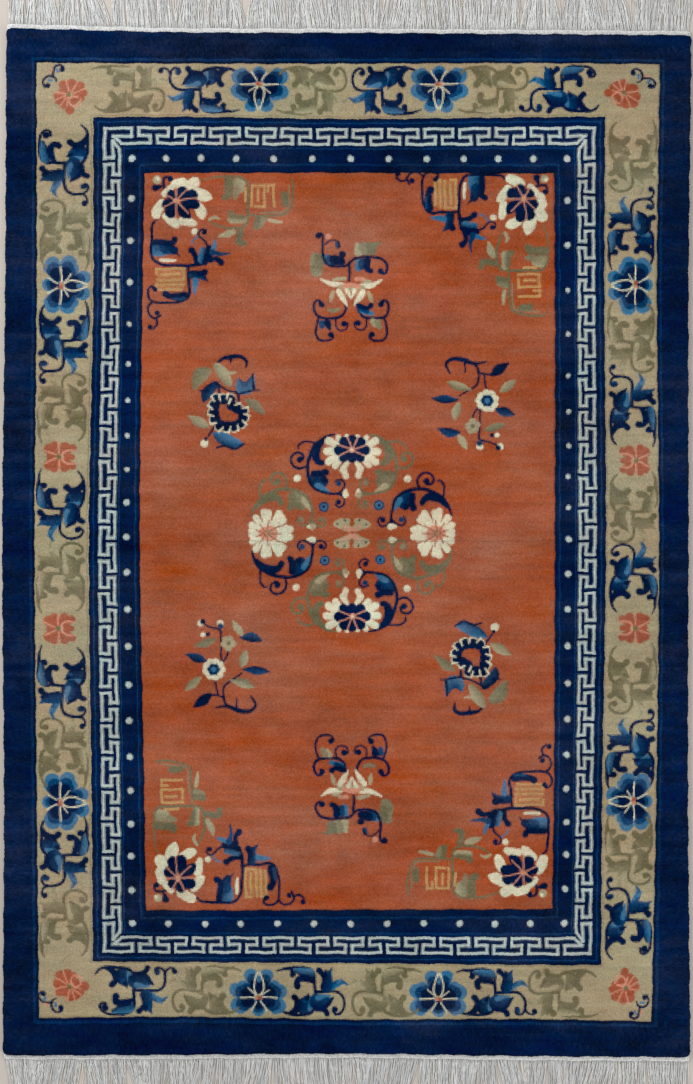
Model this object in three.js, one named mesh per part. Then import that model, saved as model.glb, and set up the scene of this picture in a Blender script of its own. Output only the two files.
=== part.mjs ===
// A hand-knotted Peking rug, lying flat, with a cotton fringe at both ends.
// Millimetres, +Z up. +Y runs along the rug to its far end, +X to its right.
// The origin is under the middle of the rug, on the floor.
import * as THREE from 'three';

// Driving dimensions of the rug
const WIDTH = 1219;              // across the pile
const LENGTH = 1818;             // along the pile
const THICKNESS = 12;            // floor to the tips of the pile
const WEB_THICKNESS = 3;         // the bare woven foundation
const SHOULDER = 9;              // height at which the pile's edge begins to round over
const ROUND_OVER = 5;            // how far in the pile reaches its full height
const CORNER_CUT = 4;            // how far each corner is worn in
const CARVED_WIDTH = 7;          // groove clipped along the edge of each border
const CARVED_DEPTH = 2;

// Half sizes of the three carved outlines, from the outer one to the field
const BORDERS = [
  { name: 'main border', halfWidth: 552, halfLength: 849 },
  { name: 'fret band', halfWidth: 458, halfLength: 753 },
  { name: 'field', halfWidth: 365, halfLength: 654 },
];

// Driving dimensions of the two fringes
const WEB_WIDTH = 8;             // bare web between the pile and the fringe
const SEAM = 0.3;                // gap between the pile's edge and the web
const LOCKS = 132;               // locks of warp ends in one fringe
const LOCK_ROOT = 5.6;           // width of a lock where it leaves the web
const LOCK_TIP = 2.2;
const LOCK_TIP_HEIGHT = 1.4;
const FRINGE_LENGTH = 75;        // the longest lock, from the web to its tip
const FRINGE_RAGGED = 12;        // how much shorter the shortest lock is
const LOCK_STEPS = 3;            // straight stretches along one lock

// The loom left every line a little uneven. Each row tells how far one line lies
// from its straight place, at five even stations along it.

// Lines that run along the rug, pushed to the right
const SIDE_LINES = [
  { place: -WIDTH / 2, near: -1, nearMid: 1, middle: -2, farMid: 3, far: 5 },
  { place: -552, near: 6, nearMid: 2, middle: -2, farMid: 2, far: 1 },
  { place: -458, near: 6, nearMid: 3, middle: -2, farMid: 6, far: 5 },
  { place: -365, near: 11, nearMid: 6, middle: -2, farMid: 3, far: 11 },
  { place: 365, near: -3, nearMid: 4, middle: 6, farMid: 6, far: 3 },
  { place: 458, near: -3, nearMid: -1, middle: 6, farMid: 3, far: 5 },
  { place: 552, near: -10, nearMid: -1, middle: 4, farMid: 0, far: 6 },
  { place: WIDTH / 2, near: 2, nearMid: -2, middle: -1, farMid: -1, far: 4 },
];

// Lines that run across the rug, pushed to the far end
const END_LINES = [
  { place: -LENGTH / 2, left: 0, leftMid: 1, middle: 3, rightMid: -1, right: -3 },
  { place: -849, left: 6, leftMid: 9, middle: 4, rightMid: 5, right: 0 },
  { place: -753, left: 10, leftMid: 8, middle: 6, rightMid: 3, right: 2 },
  { place: -654, left: 7, leftMid: 3, middle: 4, rightMid: 5, right: 8 },
  { place: 654, left: 6, leftMid: 6, middle: 6, rightMid: 5, right: 7 },
  { place: 753, left: 7, leftMid: 9, middle: 5, rightMid: 8, right: 10 },
  { place: 849, left: 7, leftMid: 5, middle: 5, rightMid: 6, right: 4 },
  { place: LENGTH / 2, left: 8, leftMid: 1, middle: 0, rightMid: -2, right: -4 },
];

const clamp = THREE.MathUtils.clamp;
const lerp = THREE.MathUtils.lerp;

// A smooth curve through the five offsets of one line
function offsetAlong(line, station) {
  const [, ...offsets] = Object.values(line);
  const at = clamp((station + 1) * 2, 0, 4);
  const cell = Math.min(Math.floor(at), 3);
  const t = at - cell;
  const pick = (i) => offsets[clamp(cell + i, 0, offsets.length - 1)];
  const slopeIn = (pick(1) - pick(-1)) / 2;
  const slopeOut = (pick(2) - pick(0)) / 2;
  const rise = pick(1) - pick(0);
  const bend = (3 * rise - 2 * slopeIn - slopeOut) * t * t;
  const turn = (slopeIn + slopeOut - 2 * rise) * t * t * t;
  return pick(0) + slopeIn * t + bend + turn;
}

// The offset of any place between two neighbouring lines
function offsetAt(lines, place, station) {
  let next = lines.findIndex((line) => line.place >= place);
  next = clamp(next < 0 ? lines.length - 1 : next, 1, lines.length - 1);
  const [below, above] = [lines[next - 1], lines[next]];
  const t = clamp((place - below.place) / (above.place - below.place), 0, 1);
  return lerp(offsetAlong(below, station), offsetAlong(above, station), t);
}

// Moves a point of the straight plan to where it lies on the uneven rug
function uneven(x, y) {
  return [
    x + offsetAt(SIDE_LINES, x, y / (LENGTH / 2)),
    y + offsetAt(END_LINES, y, x / (WIDTH / 2)),
  ];
}

// Collects the corners and faces of one solid
class Skin {
  constructor() {
    this.points = [];
    this.faces = [];
  }

  add(x, y, z) {
    return this.points.push([x, y, z]) - 1;
  }

  triangle(a, b, c) {
    this.faces.push(a, b, c);
  }

  // A four-sided face, its corners anticlockwise as seen from outside
  quad(a, b, c, d) {
    this.triangle(a, b, c);
    this.triangle(a, c, d);
  }

  mesh(name, color) {
    const geometry = new THREE.BufferGeometry();
    geometry.setAttribute('position', new THREE.Float32BufferAttribute(this.points.flat(), 3));
    geometry.setIndex(this.faces);
    geometry.computeVertexNormals();
    const material = new THREE.MeshStandardMaterial({ color, roughness: 0.95, metalness: 0 });
    const mesh = new THREE.Mesh(geometry, material);
    mesh.name = name;
    return mesh;
  }
}

// The places of the body's grid lines in one direction: the rim, three lines for
// each carved groove, and a few in between to follow the uneven edges
function gridPlaces(halfSize, key, between) {
  const half = CARVED_WIDTH / 2;
  const outward = [halfSize, halfSize - ROUND_OVER];
  for (const border of BORDERS) {
    outward.push(border[key] + half, border[key], border[key] - half);
  }
  const innermost = outward.at(-1);
  const inside = [];
  for (let i = 1; i < between; i += 1) {
    inside.push(lerp(-innermost, innermost, i / between));
  }
  return [...outward.map((place) => -place), ...inside, ...outward.reverse()];
}

// Height of the pile at a point of the straight plan
function pileHeight(x, y) {
  const onRim = Math.abs(x) > WIDTH / 2 - 1 || Math.abs(y) > LENGTH / 2 - 1;
  if (onRim) return SHOULDER;
  for (const { halfWidth, halfLength } of BORDERS) {
    const across = Math.abs(x) - halfWidth;
    const along = Math.abs(y) - halfLength;
    const onOutline = Math.abs(Math.max(across, along)) < 1e-6;
    if (onOutline) return THICKNESS - CARVED_DEPTH;
  }
  return THICKNESS;
}

function rugBody() {
  const skin = new Skin();
  const columns = gridPlaces(WIDTH / 2, 'halfWidth', 5);
  const rows = gridPlaces(LENGTH / 2, 'halfLength', 9);
  const lastColumn = columns.length - 1;
  const lastRow = rows.length - 1;
  const top = rows.map((y, j) => columns.map((x, i) => {
    const isCorner = (i === 0 || i === lastColumn) && (j === 0 || j === lastRow);
    const cut = isCorner ? CORNER_CUT : 0;
    const [px, py] = uneven(x, y);
    return skin.add(px - Math.sign(x) * cut, py - Math.sign(y) * cut, pileHeight(x, y));
  }));
  for (let j = 0; j < lastRow; j += 1) {
    for (let i = 0; i < lastColumn; i += 1) {
      skin.quad(top[j][i], top[j][i + 1], top[j + 1][i + 1], top[j + 1][i]);
    }
  }
  const rim = [
    ...top[0].slice(0, -1),
    ...top.slice(0, -1).map((row) => row[lastColumn]),
    ...top[lastRow].slice(1).reverse(),
    ...top.slice(1).reverse().map((row) => row[0]),
  ];
  const foot = rim.map((index) => skin.add(skin.points[index][0], skin.points[index][1], 0));
  const middle = skin.add(0, 0, 0);
  rim.forEach((index, k) => {
    const next = (k + 1) % rim.length;
    skin.quad(foot[k], foot[next], rim[next], index);
    skin.triangle(middle, foot[next], foot[k]);
  });
  return skin.mesh('rug_body', 0x96604c);
}

// How far the locks lean at their tips, so that they gather in soft clumps
function lockLean(x) {
  const slowWave = 7 * Math.sin(x / 47 + 0.6);
  const quickWave = 2.6 * Math.sin(x / 15.5 + 1.9);
  const spread = 10 * (x / (WIDTH / 2)) ** 5;
  return slowWave + quickWave + spread;
}

// How long the lock at x is
function lockLength(x) {
  const ragged = 0.5 + 0.3 * Math.sin(x / 21) + 0.2 * Math.sin(x / 6.7 + 1);
  return FRINGE_LENGTH - FRINGE_RAGGED * ragged;
}

// One fringe: the bare web with its locks. end is 1 at the far end and -1 at the near end.
function fringe(name, end) {
  const skin = new Skin();
  const columns = gridPlaces(WIDTH / 2, 'halfWidth', 5);
  const edgeY = (x) => uneven(x, end * LENGTH / 2)[1];

  // The web's inner edge runs beside the pile, with the same bends
  const back = columns.map((x) => {
    const isEnd = Math.abs(x) > WIDTH / 2 - 1;
    const px = uneven(x, end * LENGTH / 2)[0] - (isEnd ? Math.sign(x) * CORNER_CUT : 0);
    return [px, edgeY(x) + end * SEAM];
  });
  const [leftX, rightX] = [back[0][0], back.at(-1)[0]];
  const frontY = (x) => edgeY(clamp(x, -WIDTH / 2, WIDTH / 2)) + end * (SEAM + WEB_WIDTH);

  // The web's outer edge has the two corners of each lock's root
  const pitch = (rightX - leftX) / LOCKS;
  const roots = [];
  for (let i = 0; i < LOCKS; i += 1) {
    roots.push(leftX + pitch * (i + 0.5));
  }
  const front = [[leftX, frontY(leftX)]];
  for (const x of roots) {
    front.push([x - LOCK_ROOT / 2, frontY(x)], [x + LOCK_ROOT / 2, frontY(x)]);
  }
  front.push([rightX, frontY(rightX)]);

  // The web: its flat top and bottom, then the walls between the locks
  const outline = [...back, ...[...front].reverse()];
  const upper = outline.map(([x, y]) => skin.add(x, y, WEB_THICKNESS));
  const lower = outline.map(([x, y]) => skin.add(x, y, 0));
  const contour = outline.map(([x, y]) => new THREE.Vector2(x, y));
  for (const [a, b, c] of THREE.ShapeUtils.triangulateShape(contour, [])) {
    const ab = contour[b].clone().sub(contour[a]);
    const ac = contour[c].clone().sub(contour[a]);
    const [q, r] = ab.cross(ac) > 0 ? [b, c] : [c, b];
    skin.triangle(upper[a], upper[q], upper[r]);
    skin.triangle(lower[a], lower[r], lower[q]);
  }
  const frontAt = (i) => outline.length - 1 - i;
  const wall = (i, j) => {
    const [p, q] = end > 0 ? [i, j] : [j, i];
    skin.quad(lower[p], lower[q], upper[q], upper[p]);
  };
  for (let i = 0; i < back.length - 1; i += 1) {
    wall(i, i + 1);
  }
  wall(back.length - 1, frontAt(front.length - 1));
  wall(frontAt(0), 0);
  for (let i = 0; i < front.length - 1; i += 1) {
    const isRoot = i % 2 === 1;
    if (!isRoot) wall(frontAt(i + 1), frontAt(i));
  }

  // The locks: each runs out from its root in a few straight stretches
  roots.forEach((x, i) => {
    const left = frontAt(2 * i + 1);
    const right = frontAt(2 * i + 2);
    let ring = [lower[left], lower[right], upper[right], upper[left]];
    const length = lockLength(x * end + 13);
    const lean = lockLean(x * end);
    for (let step = 1; step <= LOCK_STEPS; step += 1) {
      const t = step / LOCK_STEPS;
      const bend = lean * t ** 1.6 + 1.2 * Math.sin(i * 2.4) * Math.sin(Math.PI * t);
      const half = lerp(LOCK_ROOT, LOCK_TIP, t ** 0.7) / 2;
      const height = lerp(WEB_THICKNESS, LOCK_TIP_HEIGHT, t);
      const cx = x + bend;
      const cy = frontY(x) + end * length * t;
      const next = [
        skin.add(cx - half, cy, 0),
        skin.add(cx + half, cy, 0),
        skin.add(cx + half, cy, height),
        skin.add(cx - half, cy, height),
      ];
      for (let k = 0; k < 4; k += 1) {
        const m = (k + 1) % 4;
        if (end > 0) skin.quad(ring[k], next[k], next[m], ring[m]);
        else skin.quad(ring[k], ring[m], next[m], next[k]);
      }
      ring = next;
    }
    const [a, b, c, d] = ring;
    if (end > 0) skin.quad(a, d, c, b);
    else skin.quad(a, b, c, d);
  });
  return skin.mesh(name, 0xd9d4c6);
}

const group = new THREE.Group();
group.add(rugBody(), fringe('fringe_far', 1), fringe('fringe_near', -1));

export default group;
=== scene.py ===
"""A hand-knotted Peking rug lying flat: its dyed and carved wool pile, the cotton foundation
under it, and the fringe of warp ends at both ends. Plans are in millimetres, pieces in metres."""
import math

import bpy
import numpy as np
from bpy.props import FloatProperty, FloatVectorProperty, IntProperty, PointerProperty
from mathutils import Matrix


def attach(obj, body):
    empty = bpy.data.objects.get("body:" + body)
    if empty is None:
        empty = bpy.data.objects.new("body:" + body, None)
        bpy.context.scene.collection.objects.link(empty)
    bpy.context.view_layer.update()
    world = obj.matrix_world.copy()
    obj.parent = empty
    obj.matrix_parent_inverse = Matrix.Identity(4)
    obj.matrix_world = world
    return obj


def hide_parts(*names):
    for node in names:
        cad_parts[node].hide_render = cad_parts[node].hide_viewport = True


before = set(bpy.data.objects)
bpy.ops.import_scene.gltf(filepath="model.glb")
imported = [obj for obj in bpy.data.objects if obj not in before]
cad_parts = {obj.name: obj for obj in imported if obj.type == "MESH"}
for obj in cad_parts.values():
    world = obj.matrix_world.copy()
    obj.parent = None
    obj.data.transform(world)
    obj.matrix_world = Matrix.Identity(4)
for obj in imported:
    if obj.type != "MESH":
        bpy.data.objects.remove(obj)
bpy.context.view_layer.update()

bl_info = {
    "name": "Peking rug",
    "version": (1, 0, 0),
    "blender": (4, 5, 0),
    "location": "3D View > Sidebar > Rug",
    "description": "Knots a Peking rug with carved wool pile and cotton fringes",
    "category": "Object",
}

MM = 0.001
KNOT = 3.386                 # one knot of the 90-line weave, the unit of every motif below
WIDTH = 1219                 # across the pile
LENGTH = 1818                # along the pile
THICKNESS = 12               # floor to the tips of the pile
STRAY = 0.8                  # how far the tallest tufts rise above the rest
RIM_DROP = 3.4               # how far the pile rounds down at its rim
CORNER = 9                   # radius of the rug's four corners
FOOT = 2.4                   # where the pile's base lies, just inside the foundation
SHEET_TOP = 2.6              # top of the foundation under the pile
WEB_TOP = 3.0                # top of the bare web
WEB_ROUGH = 0.12             # how rough the web is
WEB_WIDTH = 8                # bare web between the pile and the fringe
MAIN_BORDER = (552, 849)     # half width and half length of each carved outline
FRET_BAND = (458, 753)
FRET_EDGE = (456.4, 750.8)   # where the beige of the main border meets the navy inside it
FIELD = (365, 654)
PEARLS = (388.5, 678.6)      # the rows of pearls between the fret and the field
END_PEARLS = 13              # how many pearls are in a row
SIDE_PEARLS = 22
PEARL = 11.0                 # across a pearl
SMALL_PEARL = 8.6            # across one that was squeezed in, further than this from its place
FAR_STRAY = 30
GUARD = 2.8                  # width of the thin line round the main border
FRET_LINE = 4.6              # width of the fret's white line
FRET_GUARDS = ((10.7, 2.8), (56, 2.4), (85, 2.4))   # each line's inset from the band, and width

# The key fret: its number of keys, how far they reach, how far its outer, middle and inner
# runs lie from the rug's middle, and where its corners are
END_FRET = (12, 382, (731, 717.5, 705), 435.5)
SIDE_FRET = (23, 673.5, (435.5, 421, 409.7), 731)

# The loom left every line a little uneven. Each row is a line's straight place, then how far
# the line lies from it at five even stations along it.
SIDE_LINES = (
    (-WIDTH / 2, (-1, 1, -2, 3, 5)),
    (-552, (6, 2, -2, 2, 1)),
    (-458, (6, 3, -2, 6, 5)),
    (-365, (11, 6, -2, 3, 11)),
    (365, (-3, 4, 6, 6, 3)),
    (458, (-3, -1, 6, 3, 5)),
    (552, (-10, -1, 4, 0, 6)),
    (WIDTH / 2, (2, -2, -1, -1, 4)),
)
END_LINES = (
    (-LENGTH / 2, (0, 1, 3, -1, -3)),
    (-849, (6, 9, 4, 5, 0)),
    (-753, (10, 8, 6, 3, 2)),
    (-654, (7, 3, 4, 5, 8)),
    (654, (6, 6, 6, 5, 7)),
    (753, (7, 9, 5, 8, 10)),
    (849, (7, 5, 5, 6, 4)),
    (LENGTH / 2, (8, 1, 0, -2, -4)),
)

# On top of that, single knots wander off their line in waves. Each row is how far in mm, then
# a wave's length along and across the side lines, and along and across the end lines, as mm
# over 2 pi.
WANDER = (
    (0.4, 5.3, 29, 5.9, -31),
    (0.6, 12.7, -23, 13.9, 21),
)

# The pearls of the fret band: how far they stray from even places at five stations, in mm
PEARL_DRIFT = {
    "far": (0, -8, 2, 9, 0),
    "near": (0, 0, 3, 5, 0),
    "left": (0, -27, -23, -41, 0),
    "right": (0, -25, -27, -62, 0),
}

# Dyes as they look in daylight: label, where each is used, and its colour
DYES = {
    "navy": ("Navy", "Indigo of the borders and scrolls", (0.005, 0.094, 0.228)),
    "guard": ("Guard blue", "The thin lines between the bands", (0.045, 0.20, 0.36)),
    "blue": ("Middle blue", "Shading between navy and sky", (0.075, 0.23, 0.375)),
    "sky": ("Sky blue", "Petals and the light side of leaves", (0.245, 0.42, 0.55)),
    "beige": ("Beige", "Ground of the main border", (0.62, 0.57, 0.455)),
    "terracotta": ("Terracotta", "Ground of the field", (0.605, 0.318, 0.21)),
    "ivory": ("Ivory", "Blossoms and buds", (0.80, 0.785, 0.68)),
    "fret": ("Fret white", "The key fret and its pearls", (0.68, 0.72, 0.70)),
    "olive": ("Olive", "Stems of the second scrolls", (0.42, 0.395, 0.30)),
    "sage": ("Sage", "Leaves of the second scrolls", (0.495, 0.465, 0.365)),
    "pale_sage": ("Pale sage", "Light side of those leaves", (0.615, 0.58, 0.465)),
    "rust": ("Rust", "Small flowers of the main border", (0.60, 0.325, 0.235)),
    "gold": ("Gold", "Bars of the square keys", (0.69, 0.55, 0.36)),
    "amber": ("Amber", "Ground of the square keys", (0.645, 0.415, 0.27)),
    "pink": ("Pink", "Veins and hearts of the blossoms", (0.76, 0.53, 0.44)),
    "green": ("Leaf green", "Hearts and small leaves", (0.40, 0.40, 0.26)),
}
COTTON = ("Cotton", "Warp ends and web", (0.89, 0.895, 0.89))
FLOOR = ("Floor", "The studio floor", (0.74, 0.71, 0.68))
OLIVE_SCROLL = {"navy": "olive", "blue": "sage", "sky": "pale_sage", "ivory": "beige"}

# Where light and dark lots of yarn lie: each row is a cloud's size across and along the rug in
# mm, and its strength. They deepen a dye, pale it, or make it redder.
DEEPER = ((240, 8, 0.06), (120, 100, 0.08), (26, 18, 0.08))
PALER = ((150, 70, 0.050), (36, 12, 0.035), (300, 7, 0.018))
REDDER = ((110, 60, 0.05), (20, 8, 0.03))
WORN = (0.50, 0.40, 0.33)    # what faded wool goes towards, in linear light
# Where the field has faded or darkened: place and size of the patch in mm, and how much
FADED = (
    (-86, 428, 95, 0.10),
    (20, 540, 80, 0.07),
    (250, -20, 70, 0.09),
    (300, 150, 60, 0.05),
    (-320, 120, 60, 0.06),
    (-150, 560, 60, 0.06),
    (-200, -340, 110, -0.03),
    (120, -420, 120, -0.03),
)


def flower(table, dyes):
    """The petals of a flower in layers, from its rim's dye to its heart's. Each row of the table
    is a petal's direction in degrees, its reach and its breadth."""
    strokes = []
    for k, dye in enumerate(dyes):
        share = 1 - 0.19 * k
        for angle, reach, breadth in table:
            c, s = math.cos(math.radians(angle)), math.sin(math.radians(angle))
            wide = breadth * (1 - 0.12 * k)
            root, tip = 0.3 * reach, share * reach - wide / 2
            strokes.append((dye, (root * c, root * s, 0.6 * wide), (tip * c, tip * s, wide)))
    return tuple(strokes)


def veins(table, dye):
    """Thin lines from the heart of a flower. Each row is a direction, start, end and width."""
    strokes = []
    for angle, start, end, width in table:
        c, s = math.cos(math.radians(angle)), math.sin(math.radians(angle))
        strokes.append((dye, (start * c, start * s, width), (end * c, end * s, width)))
    return tuple(strokes)


def all_round(count, first, *sizes):
    """Rows for like petals or veins that stand evenly round the heart."""
    return tuple((first + 360 * k / count, *sizes) for k in range(count))


def both_sides(table, middle):
    """Rows for petals or veins, each with its mirror image about a direction in degrees."""
    return table + tuple((2 * middle - angle, *sizes) for angle, *sizes in table)


# Motifs, in knots. Each row is one stroke of one dye, or of two dyes that shade from its left
# hand to its right: points across, along and the stroke's width there. A single point is a
# round spot. On the border, the second number points outward.

# The body of every scroll of the main border, from the middle of its stem
BORDER_SCROLL = (
    (("navy", "blue"), (5.6, 8.4, 7.6), (5.2, 6.6, 8.2), (4.4, 4.8, 6.0)),
    ("sky", (2.9, 9.2, 1.6), (2.5, 6.8, 2.4), (2.4, 3.8, 1.6)),
    ("navy", (14.0, 11.2, 1.6), (10.8, 9.8, 3.6), (9.4, 6.8, 3.4), (9.8, 4.2, 3.2), (11.0, 2.8, 3.5)),
    ("blue", (5.8, 4.2, 2.6), (5.2, 2.8, 1.2)),
    ("navy", (4.4, 3.6, 2.2), (3.4, 1.2, 0.7)),
    ("navy", (19.4, 8.7, 1.0), (17.4, 10.6, 1.4), (14.4, 11.7, 1.6), (9.9, 11.9, 1.7),
     (5.2, 11.7, 1.7), (1.7, 10.4, 1.7), (0.1, 7.7, 1.7), (-0.2, 3.3, 1.7), (0.0, -1.7, 1.7),
     (0.3, -5.6, 1.7), (0.4, -9.0, 1.8), (2.4, -11.6, 1.7), (6.4, -12.5, 1.6)),
    (("navy", "sky"), (2.4, -9.4, 5.0), (6.0, -9.9, 4.8), (10.6, -10.8, 2.2)),
    ("navy", (0.6, -4.8, 2.0), (3.2, -6.3, 3.4), (6.6, -7.0, 3.8), (9.2, -5.8, 3.2), (9.1, -3.1, 3.7)),
    (("blue", "navy"), (-0.8, 5.0, 8.0), (-4.6, 5.3, 7.4), (-6.6, 5.2, 4.6), (-9.6, 3.0, 0.8)),
    ("sky", (-1.2, 3.2, 2.6), (-3.2, 2.6, 2.6), (-5.6, 2.2, 1.4)),
    ("navy", (-0.8, 9.0, 2.4), (-3.8, 9.0, 2.8), (-5.8, 9.8, 3.0), (-6.7, 11.5, 3.1)),
    ("navy", (-6.4, 7.4, 2.2), (-9.8, 2.9, 0.8)),
    ("sky", (-6.6, 2.2, 1.6), (-8.2, 2.0, 0.8)),
    (("blue", "sky"), (-9.0, -2.8, 3.6), (-11.8, -4.6, 3.4), (-14.6, -5.2, 2.2), (-17.2, -3.8, 0.8)),
    ("sky", (-12.2, -5.2, 1.8), (-14.2, -6.8, 0.8)),
    (("navy", "blue"), (-6.0, -2.6, 6.4), (-6.4, -5.4, 5.8), (-6.4, -8.4, 5.6)),
    ("navy", (-4.6, -8.6, 2.6), (-3.2, -10.4, 3.0), (-2.4, -11.1, 3.4)),
    ("blue", (-7.4, -9.4, 2.8), (-9.2, -12.2, 0.7)),
    ("navy", (-5.4, -9.2, 2.8), (-5.8, -11.4, 0.8)),
)

# How a scroll starts, and how its tail ends
HOOKED_END = (
    ("navy", (-0.4, 0.2, 1.7), (-5.0, 0.0, 1.8), (-10.6, -0.4, 1.5), (-14.0, 0.9, 1.5),
     (-15.7, 4.0, 1.5), (-15.4, 8.2, 1.5), (-13.6, 10.9, 1.5), (-11.4, 11.4, 1.4),
     (-10.0, 10.0, 1.4)),
    ("navy", (-10.9, 8.9, 3.3)),
)
CURLED_END = (
    ("navy", (-0.4, 0.2, 1.7), (-6.0, 0.0, 1.8), (-11.6, -0.1, 1.7), (-14.8, 1.6, 1.7),
     (-16.2, 5.0, 1.6), (-16.2, 8.9, 1.5)),
    ("navy", (-16.2, 8.5, 1.4), (-17.0, 10.4, 1.4), (-18.8, 11.6, 1.3), (-20.8, 11.6, 1.3)),
    ("navy", (-21.2, 10.1, 3.1)),
    ("navy", (-16.2, 8.5, 1.4), (-15.2, 10.8, 1.4), (-13.2, 11.8, 1.3), (-11.4, 11.4, 1.3),
     (-10.9, 10.0, 1.2)),
    (("navy", "blue"), (-12.2, 10.0, 3.0), (-12.2, 9.2, 3.0)),
)
RUNNING_TAIL = (
    ("navy", (6.0, -12.4, 1.6), (10.6, -12.3, 1.6), (13.8, -12.0, 2.0), (17.0, -11.9, 1.4),
     (20.8, -10.6, 0.7)),
    ("navy", (12.6, -11.2, 1.6), (12.0, -8.9, 3.5)),
)
CLOSED_TAIL = (
    ("navy", (6.0, -12.5, 1.6), (11.4, -12.3, 1.5), (15.2, -11.2, 1.5), (17.0, -8.8, 1.4),
     (16.2, -6.8, 1.4), (14.2, -6.6, 1.6)),
    ("navy", (14.4, -8.8, 3.7)),
)
SCROLL_ENDS = {
    "hooked": HOOKED_END + RUNNING_TAIL,
    "curled": CURLED_END + RUNNING_TAIL,
    "closed": CURLED_END + CLOSED_TAIL,
}

# The flowers of the main border
BLUE_FLOWER = flower(
    ((90, 9.8, 7.2), (158, 15.4, 8.2), (146, 13.6, 6.0), (196, 15.6, 8.0), (214, 13.4, 6.2),
     (250, 15.4, 7.2), (290, 15.4, 7.2), (326, 13.4, 6.2), (343, 16.2, 8.0), (22, 16.0, 8.2),
     (34, 14.0, 6.0)),
    ("sky", "blue", "navy"),
) + veins(
    ((2, 2, 10, 0.7), (178, 2, 10, 0.7), (62, 2.5, 7.5, 0.6), (121, 2.5, 8.2, 0.6),
     (212, 2.5, 6.5, 0.5), (322, 2.5, 7.5, 0.5)),
    "ivory",
) + (
    ("navy", (0.0, -3.6, 4.2), (0.0, -6.4, 2.6)),
    ("sky", (0.0, -8.6, 2.0), (0.0, -10.6, 1.0)),
    ("ivory", (-1.2, -1.4, 0.7), (-2.5, -4.0, 0.7), (-2.3, -8.0, 0.7), (-0.8, -12.6, 0.8)),
    ("ivory", (1.2, -1.4, 0.7), (2.6, -4.0, 0.7), (2.3, -8.0, 0.7), (0.6, -12.6, 0.8)),
    ("rust", (-1.2, 0.3, 2.0), (1.0, 0.3, 1.6)),
    ("pink", (0.6, 0.6, 1.0), (1.6, 0.4, 0.8)),
)
RUST_FLOWER = flower(
    both_sides(((52, 9.4, 5.6), (24, 8.6, 5.2), (-28, 8.8, 5.0), (-54, 10.4, 4.0)), 90)
    + ((90, 6.6, 4.8),),
    ("rust",),
) + veins(
    both_sides(((4, 2, 8.0, 0.8), (66, 2, 8.0, 0.8)), 90), "pink",
) + (
    ("pink", (-3.4, -8.2, 0.9), (-3.6, -4.6, 1.0), (-2.2, -2.0, 1.0), (0.0, -1.5, 1.2),
     (2.2, -2.0, 1.0), (3.6, -4.6, 1.0), (3.4, -8.2, 0.9)),
    ("rust", (0.0, -4.6, 4.2), (0.0, -6.8, 3.0)),
    ("green", (0.0, 0.2, 2.4)),
)
CORNER_FLOWER = flower(
    ((95, 7.8, 4.4), (122, 8.2, 4.6), (150, 8.4, 4.8), (182, 10.4, 4.6), (28, 8.2, 5.2),
     (-14, 8.8, 5.2), (-48, 9.8, 5.2), (-82, 9.0, 4.6), (60, 5.8, 4.2), (250, 8.0, 3.8)),
    ("rust",),
) + veins(
    ((80, 2, 7.5, 0.8), (112, 2, 8.0, 0.7), (140, 2, 7.5, 0.7), (10, 2, 7.5, 0.8),
     (-32, 2, 8.0, 0.7), (-66, 2, 8.0, 0.7), (166, 2, 6.0, 0.7)),
    "pink",
) + (
    ("pink", (-2.2, -5.8, 0.9), (-5.8, -4.8, 1.0), (-6.0, -1.6, 1.0), (-3.4, 0.4, 1.0),
     (-0.9, -1.2, 1.1), (-1.4, -4.4, 0.9)),
    ("rust", (-3.6, -2.4, 3.4)),
    ("green", (0.0, 0.4, 2.2)),
)

# The curl between a corner's flower and the outer corner of the border
CORNER_CURL = (
    ("sky", (7.6, 10.0, 1.4), (7.6, 8.4, 1.2)),
    ("sky", (12.4, 5.6, 1.4), (13.6, 6.6, 1.2)),
    ("navy", (4.9, 10.8, 2.9)),
    ("navy", (4.2, 12.0, 1.5), (6.4, 13.2, 1.2), (8.8, 12.0, 1.3), (9.8, 9.4, 1.4),
     (9.0, 7.0, 1.2), (7.0, 6.0, 0.7)),
    ("navy", (9.4, 7.8, 1.2), (12.2, 8.0, 1.2), (14.8, 7.4, 1.3), (16.0, 5.2, 1.4),
     (15.2, 3.2, 1.5), (13.6, 3.6, 3.0)),
    ("pink", (11.6, 9.4, 1.0), (13.0, 9.0, 1.2)),
)

# The main border, read along one side with its outer edge at the top: the motif, 1 as drawn or
# -1 upside down, and its place along each of the rug's two like sides, in knots from the middle
END_BORDER = (
    ("olive hooked", -1, -114, -112),
    ("blue curled", 1, -79, -78),
    ("blue flower", 1, -48, -48),
    ("olive hooked", 1, -18, -18),
    ("blue hooked", 1, 17, 18),
    ("blue flower", 1, 47, 48),
    ("olive hooked", 1, 78, 78),
    ("blue closed", -1, 112, 114),
)
SIDE_BORDER = (
    ("olive hooked", -1, -199, -199),
    ("blue curled", 1, -165, -163),
    ("blue flower", 1, -137, -134),
    ("olive hooked", 1, -109, -104),
    ("blue curled", -1, -76, -70),
    ("rust flower", 1, -46, -42),
    ("olive hooked", -1, -17, -15),
    ("blue hooked", -1, 17, 18),
    ("rust flower", 1, 44, 46),
    ("olive hooked", -1, 72, 75),
    ("blue curled", 1, 105, 111),
    ("blue flower", 1, 134, 137),
    ("olive hooked", 1, 163, 165),
    ("blue closed", -1, 198, 199),
)

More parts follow.
